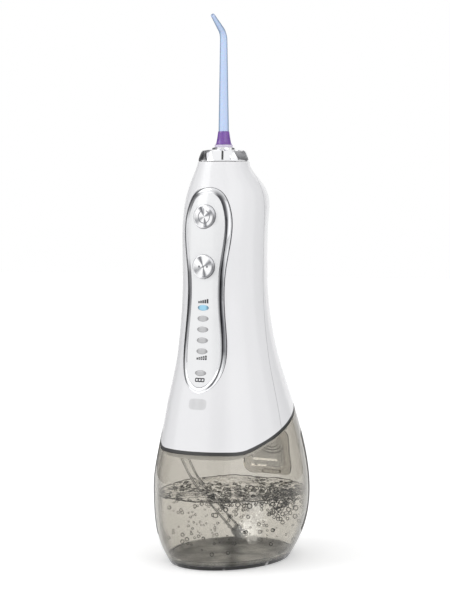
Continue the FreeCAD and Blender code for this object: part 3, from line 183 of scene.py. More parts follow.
class Finish:
    """A node-based material, and the one method that adds a node to it."""

    def __init__(self, name, **sockets):
        self.material = bpy.data.materials.new(name)
        self.material.use_nodes = True
        self.start(self.material.node_tree, "ShaderNodeOutputMaterial")
        shader = self.node("ShaderNodeBsdfPrincipled", {}, {}, "BSDF")
        self.shader = shader.socket.node
        self.set(**sockets)
        self.surface(shader)

    def start(self, tree, output):
        self.tree = tree
        tree.nodes.clear()
        self.output = tree.nodes.new(output)

    def surface(self, shader):
        self.tree.links.new(shader.socket, self.output.inputs["Surface"])

    def volume(self, colour, density):
        absorb = self.node("ShaderNodeVolumeAbsorption", {}, {"Color": colour, "Density": density})
        self.tree.links.new(absorb.socket, self.output.inputs["Volume"])

    def feed(self, socket, value):
        if isinstance(value, Signal):
            self.tree.links.new(value.socket, socket)
        elif hasattr(value, "__len__") and len(value) == 3 and len(socket.default_value) == 4:
            socket.default_value = (*value, 1)
        else:
            socket.default_value = value

    def node(self, kind, settings=(), inputs=(), output=0):
        node = self.tree.nodes.new(kind)
        for key, value in dict(settings).items():
            if key == "stops":
                ramp = node.color_ramp
                while len(ramp.elements) < len(value):
                    ramp.elements.new(0.5)
                for element, (place, colour) in zip(ramp.elements, value):
                    element.position = place
                    element.color = (*colour, 1)
            else:
                setattr(node, key, value)
        for key, value in dict(inputs).items():
            self.feed(node.inputs[key], value)
        return Signal(self, node.outputs[output])

    def set(self, **sockets):
        for key, value in sockets.items():
            self.feed(self.shader.inputs[socket_name(key)], value)

    def outputs(self, signal, *names):
        return [Signal(self, signal.socket.node.outputs[name]) for name in names]

    def seen(self):
        """1 for the camera's rays and for what mirrors and glass show, 0 for the light things get."""
        kinds = [f"Is {kind} Ray" for kind in ("Camera", "Glossy", "Transmission")]
        rays = self.outputs(self.node("ShaderNodeLightPath"), *kinds)
        return (rays[0] + rays[1] + rays[2]).clamped()

    def place(self):
        """The point in the row frame, in metres: every piece sits at the origin."""
        return self.node("ShaderNodeTexCoord", {}, {}, "Object")

    def axes(self):
        return self.outputs(self.node("ShaderNodeSeparateXYZ", {}, {"Vector": self.place()}), *"XYZ")

    def stretched(self, x, y, z):
        return self.node("ShaderNodeVectorMath", {"operation": "MULTIPLY"}, {0: self.place(), 1: (x, y, z)})

    def grain(self, size, detail=2.0, vector=None):
        """Noise from 0 to 1 whose features are about size metres across."""
        return self.node("ShaderNodeTexNoise", {}, {
            "Vector": vector or self.place(), "Scale": 1 / size, "Detail": detail, "Roughness": 0.5})

    def cells(self, size, feature="F1", vector=None):
        return self.node("ShaderNodeTexVoronoi", {"feature": feature}, {
            "Vector": vector or self.place(), "Scale": 1 / size}, "Distance")

    def mix(self, share, first, second):
        return self.node("ShaderNodeMix", {"data_type": "RGBA"}, {0: share, 6: first, 7: second}, 2)

    def bump(self, height, depth, strength=1.0):
        return self.node("ShaderNodeBump", {}, {"Height": height, "Distance": depth, "Strength": strength})

    def edge_on(self, low, high, blend=0.5):
        """0 where a face is seen straight on, 1 where it is seen edge on."""
        return self.node("ShaderNodeLayerWeight", {}, {"Blend": blend}, "Facing").smooth(low, high)


class WorldLight(Finish):
    """White surroundings for what sees them; the light they give has the share that the stage sets."""

    def __init__(self, world):
        self.start(world.node_tree, "ShaderNodeOutputWorld")
        white = self.mix(self.seen(), grey(looks("stage").light), grey(1))
        self.surface(self.node("ShaderNodeBackground", {}, {"Color": white, "Strength": 1.0}))


def grey(tone, blue=0.0):
    """A grey whose blue may be a little more or less."""
    return (tone, tone, tone + blue)


def shade(colour, share):
    return tuple(min(1.0, channel * share) for channel in colour)


def looks(group):
    return getattr(bpy.context.scene, "flosser_" + group)


# ---- finishes -------------------------------------------------------------------------------
def mottled(name, low, high, cloud=(0.004, 2.0), skin=(), gloss=(0.25, 0.1), relief=0.000006, strength=1.0,
            stretch=(1, 1, 1), edge=(), **sockets):
    """Colour and gloss drift in a cloud, under a fine skin. Edge holds the colour seen edge on, and where."""
    finish = Finish(name, **sockets)
    drift = finish.grain(*cloud, finish.stretched(*stretch))
    colour = finish.mix(drift, low, high)
    if edge:
        colour = finish.mix(finish.edge_on(*edge[1:]), colour, edge[0])
    finish.set(base_color=colour, roughness=gloss[0] + drift * gloss[1],
               normal=finish.bump(finish.grain(*skin) if skin else drift, relief, strength))
    return finish


def moulded(name, colour, roughness=0.35, grain=0.0006, relief=0.00002, spread=0.06, **sockets):
    """Moulded plastic: a faint mottle in the colour and the gloss, and a fine skin."""
    return mottled(name, shade(colour, 1 - spread), shade(colour, 1 + spread * 0.4), (grain * 14, 3.0),
                   (grain, 4.0), (roughness * 0.85, roughness * 0.3), relief, **sockets)


def rubber(name, colour, roughness=0.62):
    return moulded(name, colour, roughness, grain=0.0003, relief=0.00003, spread=0.18)


def seam_mask(finish):
    """1 on the line where the front and rear shells meet."""
    slope = (SEAM_HIGH[0] - SEAM_LOW[0]) / (SEAM_HIGH[1] - SEAM_LOW[1])
    _, y, z = finish.axes()
    away = abs(y - (z - SEAM_LOW[1]) * slope - SEAM_LOW[0])
    return 1 - away.smooth(0.0, looks("casing").seam * 2)


def casing_white(name):
    look = looks("casing")
    finish = Finish(name, coat_weight=0.35, coat_roughness=0.06, ior=1.5)
    cloud = finish.grain(0.02, 2.0)
    skin = finish.grain(0.0011, 2.0)
    seam = seam_mask(finish)
    colour = finish.mix(cloud, shade(look.white, 0.985), shade(look.white, 1.01))
    finish.set(base_color=finish.mix(seam * 0.55, colour, grey(0.30, 0.02)),
               roughness=look.gloss * (0.9 + cloud * 0.2), normal=finish.bump(skin * 0.03 - seam, 0.0002))
    return finish


def metal(name, colour, roughness, brushed, relief=0.00002):
    """Metal whose gloss and skin run in streaks, shortened along each axis by the brushed shares."""
    finish = Finish(name, metallic=1.0)
    streaks = finish.grain(0.0004, 3.0, finish.stretched(*brushed))
    cloud = finish.grain(0.006, 2.0)
    finish.set(base_color=finish.mix(cloud, shade(colour, 0.9), colour),
               roughness=roughness * (0.8 + streaks * 0.4), normal=finish.bump(streaks, relief))
    return finish


# painted reflections on the band: how far down the panel, how dark the painted reflection is there, and where
# across the band it lies: on its right side, then on its left
BAND_PAINTED_REFLECTIONS = (((0.11, 0.2, 0.75), (0.145, 0.95, 0.8), (0.27, 0.92, 0.95), (0.39, 0.75, 0.95),
               (0.43, 0.85, 0.7), (0.50, 0.96, 0.5), (0.65, 0.96, 0.45), (0.78, 0.92, 0.36),
               (0.84, 0.4, 0.3), (0.88, 0.0, 0.3)),
              ((0.11, 0.2, 0.6), (0.14, 0.92, 0.65), (0.185, 0.7, 0.75), (0.24, 0.15, 0.8),
               (0.40, 0.2, 0.9), (0.46, 0.8, 0.75), (0.58, 0.95, 0.55), (0.73, 0.95, 0.42),
               (0.81, 0.8, 0.2), (0.87, 0.0, 0.1)))
BAND_DROP = 130 * MM


def band_chrome(name):
    """Chrome of the band round the panel, with painted reflections: dark tones painted along its two sides, as
    if rooms stood round it.
    """
    finish = Finish(name, metallic=1.0)
    x, _, z = finish.axes()
    down = (NECK - z) / BAND_DROP
    band = finish.node("ShaderNodeTexCoord", {}, {}, "UV")
    across = finish.node("ShaderNodeSeparateXYZ", {}, {"Vector": band}, "Y")
    cloud = finish.grain(0.008, 2.0)
    painted_reflections = []
    # each side's painted reflection: how dark it is down the panel, and how far across the band it lies
    for stops, wide in zip(BAND_PAINTED_REFLECTIONS, (0.92 - down.smooth(0.38, 0.48) * 0.26, 0.72)):
        strength = down.ramp(*((place, grey(dark)) for place, dark, _ in stops))
        middle = down.ramp(*((place, grey(where)) for place, _, where in stops))
        painted_reflections.append(strength * (1 - abs(across - middle).smooth(0.08, wide) * 0.84))
    right = x.smooth(-0.5 * MM, 0.5 * MM)
    # the painted reflections fade out near the band's top middle
    shoulder = (abs(x).smooth(1.5 * MM, 6.5 * MM) + down.smooth(0.2, 0.24)).clamped()
    tone = (painted_reflections[0] * right + painted_reflections[1] * (1 - right)) * shoulder
    # bright chrome where no painted reflection lies, near black where one does
    finish.set(base_color=finish.mix(tone * (0.9 + cloud * 0.2), (0.86, 0.865, 0.88), (0.045, 0.045, 0.052)),
               roughness=0.07 + cloud * 0.02, normal=finish.bump(cloud, 0.000001))
    return finish


def collar_chrome(name):
    """Chrome of the collar with painted reflections: its front facet bright, the others painted with streaked
    grey reflections, darker on the left.
    """
    finish = Finish(name, metallic=1.0)
    x, y, z = finish.axes()
    turn = (x - NOZZLE.x).turn_from(NOZZLE.y - y)
    rise = ((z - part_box("chrome_collar")[0].z) / (5.5 * MM)).clamped()
    # the side facets take painted reflections; the front facet stays bright
    side = (abs(turn - COLLAR_TURN) + rise * math.radians(14)).smooth(math.radians(36), math.radians(40))
    streaks = ((turn * 11 + rise * 1.5).sine() * 0.5 + 0.5) ** 2
    fine = finish.grain(0.0004, 3.0)
    # painted reflection darker on the facets left of the front, lighter on the right
    dark = finish.mix((turn - COLLAR_TURN).smooth(-0.1, 0.1), grey(0.26, 0.01), grey(0.72, 0.01))
    finish.set(base_color=finish.mix(side, (0.90, 0.905, 0.92), finish.mix(streaks, dark, grey(0.92, 0.01))),
               roughness=0.06 + fine * 0.03, normal=finish.bump(fine, 0.000001))
    return finish


# the painted reflections on a turned face, as dark fans: their angle in degrees, half their width in radians,
# and their depth
REFLECTION_FANS = ((112, 0.42, 0.9), (28, 0.55, 0.75), (-78, 0.42, 0.85), (-152, 0.6, 0.5))
RING_PITCH = 0.22 * MM


def turned_chrome(name, button, symbol):
    """Chrome of a button face turned in a lathe: fine rings, painted reflections as fans of light and dark
    round its middle, and painted shade on its lower right rim.
    """
    finish = Finish(name, metallic=1.0)
    x, _, height = finish.axes()
    up = height - middle_of(button).z
    radius = (x * x + up * up) ** 0.5
    turn = up.turn_from(x)
    polar = finish.node("ShaderNodeCombineXYZ", {}, {"X": turn * 0.5, "Y": radius * 6})
    fine = finish.grain(0.12, 3.0, polar)
    inside = 1 - radius.smooth(5.4 * MM, 6.0 * MM)
    # painted reflections: light round the middle, with a painted dark fan cut into it at each angle
    light = fine * 0.25 + 0.85
    for angle, width, depth in REFLECTION_FANS:
        away = turn - math.radians(angle)
        away = abs(away.maths("WRAP", away, math.pi, -math.pi)) / width
        light = light - (1 - away.smooth(0.0, 1.0)) * depth
    painted_fans = light.ramp((0.0, grey(0.10, 0.01)), (0.5, (0.42, 0.425, 0.44)), (1.0, grey(0.95, 0.01)))
    # painted shade darkening the rim on its lower right side
    painted_rim_shade = ((x * 0.8 - up * 0.6) / radius).smooth(0.3, 0.95) * radius.smooth(4.8 * MM, 5.8 * MM)
    colour = finish.mix(painted_rim_shade * 0.8, finish.mix(inside, grey(0.80, 0.02), painted_fans), grey(0.12, 0.01))
    marked = symbol(x, up, radius)
    rings = (radius * (2 * math.pi / RING_PITCH)).sine()
    finish.set(base_color=finish.mix(marked, colour, grey(0.22, 0.015)), roughness=0.16 + marked * 0.3,
               normal=finish.bump(rings * inside * 0.15 - marked, 0.00004))
    return finish


def power_symbol(x, up, radius):
    """A ring that is open at the top, and a bar in the opening."""
    line = 0.22 * MM
    ring = abs(radius - 3.4 * MM) < line
    opening = (abs(x) < 1.1 * MM) * (up > 0)
    upright = (abs(x) < line) * (abs(up - 3.1 * MM) < 1.4 * MM)
    return (ring * (1 - opening) + upright).clamped()


def three_dots(x, up, radius):
    """Three dots in a row."""
    dots = 0
    for place in (-2.4 * MM, 0.0, 2.4 * MM):
        away = ((x - place) * (x - place) + up * up) ** 0.5
        dots = (away < 0.62 * MM) + dots
    return dots


def lamp_lens(name, lit):
    """A clear lamp lens, darker at its two ends, over a frosted diffuser; a lit one glows a little."""
    colour = looks("panel").lit if lit else looks("panel").unlit
    finish = Finish(name, coat_weight=0.6, coat_roughness=0.04, ior=1.49)
    frost = finish.grain(0.0006, 3.0)
    ends = abs(finish.axes()[0]).smooth(1.3 * MM, 3.2 * MM)
    middle = finish.mix(frost, shade(colour, 0.92), shade(colour, 1.06))
    finish.set(base_color=finish.mix(ends, middle, shade(colour, 0.45 if lit else 0.62)),
               roughness=0.18 + frost * 0.1, normal=finish.bump(frost, 0.00001))
    if lit:
        glow = finish.mix(ends, (0.40, 0.66, 0.80), (0.02, 0.09, 0.18))
        finish.set(emission_color=glow, emission_strength=0.2)
    return finish


def charge_grey(name):
    """A frosted window, clear of colour at its edge, with two soft lamps behind it."""
    finish = Finish(name, coat_weight=0.3, coat_roughness=0.08, ior=1.5)
    middle = middle_of("charge_window")
    x, _, z = finish.axes()
    across = (x - middle.x) / (5.5 * MM)
    up = (z - middle.z) / (3.0 * MM)
    soft = 1 - (across ** 4 + up ** 4).smooth(0.55, 1.25)
    lobes = 1 - (abs(abs(across) - 0.45) * 1.9 + abs(up) * 0.5).smooth(0.2, 1.0)
    frost = finish.grain(0.0005, 3.0)
    tone = soft * (0.62 + lobes * 0.12 + frost * 0.06)
    finish.set(base_color=finish.mix(tone, looks("casing").white, grey(0.56, 0.01)),
               roughness=0.3 + frost * 0.1, normal=finish.bump(frost, 0.000006))
    return finish


def printed_ink(name):
    return moulded(name, looks("panel").ink, 0.42, grain=0.0002, relief=0.000003, spread=0.2)


def jet_blue(name):
    """Pale blue clear plastic with fine drawn streaks, deeper where it is seen edge on."""
    colour = looks("nozzle").tube
    return mottled(name, colour, shade(colour, 1.08), (0.005, 2.0), (0.0005, 3.0), relief=0.000004,
                   stretch=(1, 1, 0.2), edge=((0.20, 0.28, 0.41), 0.16, 0.62), ior=1.4,
                   subsurface_weight=0.1, subsurface_scale=0.001, specular_ior_level=0.15, coat_weight=0.05,
                   coat_roughness=0.1)


def ring_purple(name):
    colour = looks("nozzle").ring
    return mottled(name, shade(colour, 0.85), shade(colour, 1.2), (0.003, 2.0), (0.0004, 3.0), (0.24, 0.1),
                   coat_weight=0.5, coat_roughness=0.08, subsurface_weight=0.1, subsurface_scale=0.001)


def smoky(name, share=1.0):
    """Clear smoky plastic: each face tints a little, the plastic itself darkens long ways through it, and
    painted shade darkens it where it is seen edge on.
    """
    tint = shade(looks("tank").smoke, share)
    finish = Finish(name, transmission_weight=1.0, ior=1.38, specular_ior_level=0.5)
    cloud = finish.grain(0.03, 2.0)
    wear = finish.grain(0.0009, 4.0)
    body = finish.mix(cloud, shade(tint, 0.985), shade(tint, 1.01))
    # seen edge on, its colour is painted dark: painted shade standing in for the dark surroundings seen through
    # the wall
    finish.set(base_color=finish.mix(finish.edge_on(0.62, 0.87), body, shade(tint, 0.16)),
               roughness=0.02 + wear.smooth(0.62, 0.9) * 0.05, normal=finish.bump(cloud, 0.00006, 0.3))
    finish.volume((0.64, 0.62, 0.57), 300.0)
    return finish


def base_smoke(name):
    """The tank's dark floor: cloudy, with painted light in soft patches and a painted dark reflection of the
    filter down its middle; black and glossy round its foot, with painted highlights there.
    """
    finish = Finish(name, ior=1.4, specular_ior_level=0.0)
    x, y, z = finish.axes()
    inside = z.smooth(2.40 * MM, 2.48 * MM)
    cloud = finish.grain(0.016, 3.0)
    streaks = finish.grain(0.006, 3.0, finish.stretched(1, 1, 0))
    wear = finish.grain(0.0008, 4.0)
    # painted dark reflection of the filter down the floor's middle
    middle = 0.75 - (abs(x * 0.88 + y * 0.47) + cloud * 8 * MM).smooth(3 * MM, 12 * MM) * 0.75
    patches = (cloud * 0.75 + streaks * 0.4).smooth(0.42, 0.75)
    # painted light in soft patches over the floor
    light = finish.mix(patches, grey(0.50, -0.005), grey(0.97, -0.01))
    floor = finish.mix(middle, light, grey(0.10, -0.002))
    # painted highlights in streaks on the black foot
    foot = finish.mix(streaks.smooth(0.58, 0.66), grey(0.03), grey(0.5, -0.01))
    finish.set(base_color=finish.mix(inside, foot, floor), roughness=0.22 + inside * 0.4 + wear * 0.1,
               coat_weight=(1 - inside) * 0.8, normal=finish.bump(cloud, 0.00006, 0.3))
    return finish


def rippled_water(name):
    """The water's broken face, with foam in patches."""
    finish = Finish(name, transmission_weight=1.0, ior=1.04, roughness=0.0, specular_ior_level=0.2)
    swirl = finish.grain(0.006, 4.0)
    churn = finish.cells(0.0026, "SMOOTH_F1")
    foam = (finish.grain(0.014, 3.0).smooth(0.42, 0.62) * churn.smooth(0.25, 0.6)).clamped()
    finish.set(base_color=finish.mix(foam, (0.98, 0.975, 0.965), (0.82, 0.81, 0.78)),
               normal=finish.bump(swirl + churn * 0.5, 0.0010, 0.35))
    return finish


def water_rim(name):
    """The line where the water climbs the wall, painted dark: painted shade where the water's edge meets the
    wall.
    """
    finish = Finish(name, transmission_weight=0.6, ior=1.33, roughness=0.05)
    wobble = finish.grain(0.004, 3.0)
    finish.set(base_color=finish.mix(wobble.smooth(0.3, 0.7), (0.10, 0.098, 0.09), (0.36, 0.35, 0.32)),
               normal=finish.bump(wobble, 0.0003))
    return finish


def bubble_bright(name):
    """Fine air where the water is drawn in: it glows with painted light, and its thin grey edges are painted
    shade.
    """
    finish = Finish(name, transmission_weight=0.45, ior=1.1, roughness=0.05, emission_strength=0.45)
    film = finish.grain(0.0012, 2.0)
    colour = finish.mix(finish.edge_on(0.5, 0.95), grey(0.98, -0.01), grey(0.22, -0.01))
    finish.set(base_color=colour, emission_color=colour, normal=finish.bump(film, 0.00005))
    return finish


def fine_air(name):
    """A cloud of air too fine to see as bubbles: white and glowing with painted light, thin at its edge and in
    patches.
    """
    finish = Finish(name, roughness=0.8, specular_ior_level=0.0, emission_strength=0.55)
    patches = finish.grain(0.0045, 4.0)
    wisps = finish.grain(0.0014, 3.0)
    thick = (1 - finish.edge_on(0.05, 0.85)) * (patches * 0.7 + wisps * 0.45).smooth(0.36, 0.72)
    white = finish.mix(wisps, grey(0.86, -0.01), grey(1.0, -0.01))
    finish.set(base_color=white, emission_color=white, alpha=thick * 0.5,
               normal=finish.bump(patches, 0.0002))
    return finish


def board_green(name):
    """Circuit board: dark copper runs under green lacquer, with a few bright pads."""
    finish = Finish(name, coat_weight=0.4, coat_roughness=0.15)
    runs = finish.cells(0.0016, "DISTANCE_TO_EDGE", finish.stretched(1, 0.2, 0.6)) < 0.05
    pads = finish.cells(0.0021) < 0.16
    cloud = finish.grain(0.004)
    green = finish.mix(runs, (0.010, 0.11, 0.045), (0.03, 0.21, 0.08))
    lacquer = finish.mix(cloud * 0.4, green, (0.01, 0.07, 0.03))
    finish.set(base_color=finish.mix(pads, lacquer, (0.72, 0.62, 0.36)), metallic=pads,
               roughness=0.32 + cloud * 0.1, normal=finish.bump(runs + pads, 0.00004))
    return finish


def cell_blue(name):
    """Battery sleeve: shrunk film with fine wrinkles and a pale band."""
    finish = Finish(name, coat_weight=0.5, coat_roughness=0.1)
    wrinkle = finish.grain(0.002, 4.0, finish.stretched(1, 1, 0.15))
    band = abs(finish.axes()[2] - 134 * MM) < 4 * MM
    film = finish.mix(wrinkle, (0.02, 0.10, 0.36), (0.035, 0.16, 0.50))
    finish.set(base_color=finish.mix(band, film, (0.75, 0.77, 0.80)), roughness=0.3 + wrinkle * 0.1,
               normal=finish.bump(wrinkle, 0.00005))
    return finish


def copper_wound(name):
    """Rotor: enamelled copper windings round the shaft."""
    finish = Finish(name, metallic=1.0)
    turns = (finish.axes()[2] * (2 * math.pi / (0.5 * MM))).sine()
    cloud = finish.grain(0.002)
    finish.set(base_color=finish.mix(cloud, (0.50, 0.20, 0.09), (0.78, 0.36, 0.18)),
               roughness=0.3 + cloud * 0.1, normal=finish.bump(turns, 0.00008))
    return finish


def card_shade(name):
    """Dark card, with soft lighter bands along it and paler towards its top."""
    finish = Finish(name, roughness=0.9, specular_ior_level=0.0)
    x, y, z = finish.axes()
    bands = (x.turn_from(0 - y) * 14).sine() * 0.5 + 0.5
    tone = (bands * 0.45 + z.smooth(0.25, 0.8) * 0.5 + finish.grain(0.2, 2.0) * 0.15).clamped()
    finish.set(base_color=finish.mix(tone, grey(0.07, 0.002), grey(0.52, 0.01)),
               normal=finish.bump(bands, 0.001, 0.1))
    return finish


FLOOR_LIFT = 0.31


def floor_pale(name):
    """Pale floor. What sees it sees it lifted to white, and the flosser's shadow still darkens it."""
    finish = Finish(name, roughness=0.9)
    cloud = finish.grain(0.2, 3.0)
    colour = looks("stage").floor
    finish.set(base_color=finish.mix(cloud, shade(colour, 0.99), colour),
               normal=finish.bump(cloud, 0.0001, 0.1))
    lift = finish.node("ShaderNodeEmission", {}, {"Color": grey(1), "Strength": finish.seen() * FLOOR_LIFT})
    plain = Signal(finish, finish.shader.outputs[0])
    finish.surface(finish.node("ShaderNodeAddShader", {}, {0: plain, 1: lift}))
    return finish


FINISHES = {
    "casing_white": casing_white,
    "panel_white": partial(mottled, low=(0.79, 0.795, 0.805), high=(0.83, 0.835, 0.845), cloud=(0.012, 2.0),
                           skin=(0.0008, 2.0), gloss=(0.17, 0.05), relief=0.000004, coat_weight=0.5,
                           coat_roughness=0.05, ior=1.5),
    "band_chrome": band_chrome,
    "collar_chrome": collar_chrome,
    "power_chrome": partial(turned_chrome, button="power_button", symbol=power_symbol),
    "mode_chrome": partial(turned_chrome, button="mode_button", symbol=three_dots),
    "printed_ink": printed_ink,
    "charge_grey": charge_grey,
    "lamp_lit": partial(lamp_lens, lit=True),
    "lamp_unlit": partial(lamp_lens, lit=False),
    "jet_blue": jet_blue,
    "ring_purple": ring_purple,
    "base_lilac": partial(moulded, colour=(0.74, 0.68, 0.84), roughness=0.25, grain=0.0004, relief=0.000005,
                          coat_weight=0.4),
    "tank_smoke": smoky,
    "door_smoke": partial(smoky, share=0.84),
    "base_smoke": base_smoke,
    "seal_clear": partial(mottled, low=(0.66, 0.655, 0.63), high=(0.80, 0.795, 0.77), gloss=(0.12, 0.1),
                          relief=0.0001, strength=0.4, transmission_weight=0.9, ior=1.2,
                          specular_ior_level=0.3),
    # the door's ribs glow white: painted highlights
    "rib_bright": partial(moulded, colour=(0.92, 0.915, 0.90), roughness=0.25, emission_color=(1.0, 0.98, 0.95),
                          emission_strength=1.9),
    "arc_dark": partial(moulded, colour=(0.16, 0.158, 0.15), spread=0.2),
    # clear hose whose edges are painted near black: painted shade where it is seen edge on
    "hose_clear": partial(mottled, low=grey(0.96, -0.005), high=grey(0.99, -0.005), gloss=(0.02, 0.0),
                          relief=0.00004, edge=(grey(0.006), 0.26, 0.58), transmission_weight=1.0, ior=1.12),
    "still_water": partial(mottled, low=(0.97, 0.968, 0.955), high=(0.995, 0.99, 0.98), cloud=(0.018, 3.0),
                           gloss=(0.0, 0.0), relief=0.0004, strength=0.08, transmission_weight=1.0, ior=1.03,
                           specular_ior_level=0.2),
    "rippled_water": rippled_water,
    "water_rim": water_rim,
    # clear bubbles whose edges are painted near black: painted shade where they are seen edge on
    "bubble_clear": partial(mottled, low=(0.93, 0.925, 0.91), high=(0.93, 0.925, 0.91), cloud=(0.001, 2.0),
                            gloss=(0.0, 0.0), relief=0.00003, edge=(grey(0.008, -0.001), 0.10, 0.38, 0.45),
                            transmission_weight=1.0, ior=1.04, specular_ior_level=0.1),
    "bubble_bright": bubble_bright,
    "fine_air": fine_air,
    "grey_rubber": partial(rubber, colour=grey(0.16, 0.005)),
    "black_rubber": partial(rubber, colour=grey(0.018, 0.001)),
    "gasket_rubber": partial(rubber, colour=grey(0.045), roughness=0.4),
    "filter_grey": partial(moulded, colour=(0.50, 0.51, 0.53), roughness=0.3, grain=0.0005, spread=0.15),
    "grey_plastic": partial(moulded, colour=(0.42, 0.43, 0.44), roughness=0.4),
    # the base cap glows faintly: painted light standing in for light reaching it through the tank
    "cap_white": partial(moulded, colour=(0.90, 0.895, 0.88), roughness=0.4, emission_color=(1.0, 0.98, 0.94),
                         emission_strength=0.12),
    "inner_white": partial(moulded, colour=grey(0.72), roughness=0.4),
    "white_nylon": partial(moulded, colour=(0.78, 0.77, 0.72), roughness=0.38, subsurface_weight=0.1),
    "steel": partial(metal, colour=(0.60, 0.61, 0.63), roughness=0.25, brushed=(1, 1, 6)),
    "iron": partial(metal, colour=(0.34, 0.345, 0.35), roughness=0.32, brushed=(6, 6, 1), relief=0.00003),
    "brass": partial(metal, colour=(0.78, 0.58, 0.24), roughness=0.22, brushed=(1, 1, 5)),
    "nickel_tab": partial(metal, colour=(0.66, 0.64, 0.58), roughness=0.3, brushed=(4, 1, 1)),
    "copper_wound": copper_wound,
    "board_green": board_green,
    "cell_blue": cell_blue,
    "lamp_chip": partial(moulded, colour=(0.80, 0.78, 0.62), roughness=0.3, grain=0.0003),
    "card_shade": card_shade,
    "floor_pale": floor_pale,
}


def finish_named(name):
    return bpy.data.materials.get(name) or FINISHES[name](name).material


# ---- mesh helpers ---------------------------------------------------------------------------
def middle_of(node):
    low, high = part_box(node)
    return (low + high) / 2


def add(name, data):
    """A new object in the scene."""
    thing = bpy.data.objects.new(name, data)
    bpy.context.scene.collection.objects.link(thing)
    return thing


def make(name, points, faces, body, finish, slot=None, stands_for=(), crease=32):
    """A closed mesh piece that rides on a body."""
    mesh = bpy.data.meshes.new(name)
    mesh.from_pydata([tuple(point) for point in points], [], faces)
    work = bmesh.new()
    work.from_mesh(mesh)
    bmesh.ops.recalc_face_normals(work, faces=work.faces)
    work.to_mesh(mesh)
    work.free()
    mesh.shade_smooth()
    mesh.set_sharp_from_angle(angle=math.radians(crease))
    mesh.materials.append(finish_named(finish))
    piece = add(name, mesh)
    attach(piece, body)
    if stands_for:
        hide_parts(*stands_for)
    return piece


def dress(finish, *names):
    """Gives CAD nodes a finish; a fresh material list keeps their shapes untouched."""
    for name in names:
        mesh = NODES[name].data
        mesh.materials.clear()
        mesh.materials.append(finish_named(finish))


def turns_of(count):
    """That many angles, spread evenly round."""
    return [2 * math.pi * step / count for step in range(count)]


def at_turn(turn, reach=1.0, z=0.0):
    """The point at an angle, a distance from the axis and a height."""
    return Vector((reach * math.cos(turn), reach * math.sin(turn), z))


def ring_quads(low, high, count):
    """Quads between two closed rows of count points, whose first indices are low and high."""
    quads = []
    for step in range(count):
        after = (step + 1) % count
        quads.append((low + step, low + after, high + after, high + step))
    return quads


def skin(rows, count, start=0):
    """Quads from each closed row of count points to the next."""
    quads = []
    for row in range(rows - 1):
        quads += ring_quads(start + row * count, start + (row + 1) * count, count)
    return quads


def lathe(profile, steps, form=None, unit=MM):
    """Points and faces of (radius, height) pairs turned about Z; form(radius, height, turn) reshapes them."""
    points, faces, rings = [], [], []
    for radius, height in profile:
        radius, height = radius * unit, height * unit
        if radius < 1e-9:
            rings.append([len(points)] * steps)
            points.append(Vector((0, 0, height)))
            continue
        rings.append(list(range(len(points), len(points) + steps)))
        for turn in turns_of(steps):
            reach, rise = form(radius, height, turn) if form else (radius, height)
            points.append(at_turn(turn, reach, rise))
    for low, high in zip(rings, rings[1:]):
        for step in range(steps):
            after = (step + 1) % steps
            faces.append(tuple(dict.fromkeys([low[step], low[after], high[after], high[step]])))
    return points, faces


def moved(points, origin):
    return [origin + point for point in points]


def placed(points, origin, axis):
    """Turns points so that +Z becomes axis, and moves them to origin."""
    turn = Vector(axis).to_track_quat("Z", "Y").to_matrix()
    return moved([turn @ point for point in points], origin)


def ball(centre, radius, columns, rows, flat=1.0):
    profile = []
    for row in range(rows + 1):
        angle = math.pi * row / rows
        reach = 0.0 if row in (0, rows) else math.sin(angle) * radius
        profile.append((reach, -math.cos(angle) * radius * flat))
    points, faces = lathe(profile, columns, unit=1.0)
    return moved(points, centre), faces


def gather(parts):
    """Joins (points, faces) pairs into one."""
    points, faces = [], []
    for some_points, some_faces in parts:
        shift = len(points)
        points += some_points
        faces += [tuple(index + shift for index in face) for face in some_faces]
    return points, faces


def tube(path, walls, steps):
    """Points and faces of an outer and an inner wall along path; a wall holds its radius at each point."""
    directions = []
    for index in range(len(path)):
        before = path[max(0, index - 1)]
        after = path[min(len(path) - 1, index + 1)]
        directions.append((after - before).normalized())
    side = directions[0].orthogonal().normalized()
    frames = []
    for direction in directions:
        side = (side - direction * side.dot(direction)).normalized()
        frames.append((side.copy(), direction.cross(side)))
    points = []
    for wall in walls:
        for place, size, (across, along) in zip(path, wall, frames):
            for turn in turns_of(steps):
                points.append(place + (across * math.cos(turn) + along * math.sin(turn)) * size)
    rows = len(path)
    inner = rows * steps
    faces = skin(rows, steps) + skin(rows, steps, inner)
    faces += ring_quads(0, inner, steps) + ring_quads(inner - steps, 2 * inner - steps, steps)
    return points, faces


def smooth_line(points, name):
    """Points along a smooth curve whose control points are given."""
    curve = bpy.data.curves.new(name, "CURVE")
    curve.dimensions = "3D"
    curve.resolution_u = 14
    spline = curve.splines.new("NURBS")
    spline.points.add(len(points) - 1)
    for point, place in zip(spline.points, points):
        point.co = (*place, 1)
    spline.order_u = 3
    spline.use_endpoint_u = True
    holder = add(name, curve)
    bpy.context.view_layer.update()
    mesh = bpy.data.meshes.new_from_object(holder)
    line = [vertex.co.copy() for vertex in mesh.vertices]
    bpy.data.objects.remove(holder)
    bpy.data.curves.remove(curve)
    bpy.data.meshes.remove(mesh)
    return line


def surface_tree(*names):
    """One search tree of the CAD nodes' faces."""
    parts = []
    for name in names:
        mesh = NODES[name].data
        parts.append(([vertex.co.copy() for vertex in mesh.vertices],
                      [tuple(polygon.vertices) for polygon in mesh.polygons]))
    return BVHTree.FromPolygons(*gather(parts))


def on_front(tree, x, z):
    """Where the front surface is at x, z, and its outward direction."""
    place, normal, _, _ = tree.ray_cast(Vector((x, -0.2, z)), -FRONT)
    if place is None:
        raise RuntimeError(f"no front surface at {x:.4f}, {z:.4f}")
    return place, normal if normal.y < 0 else -normal


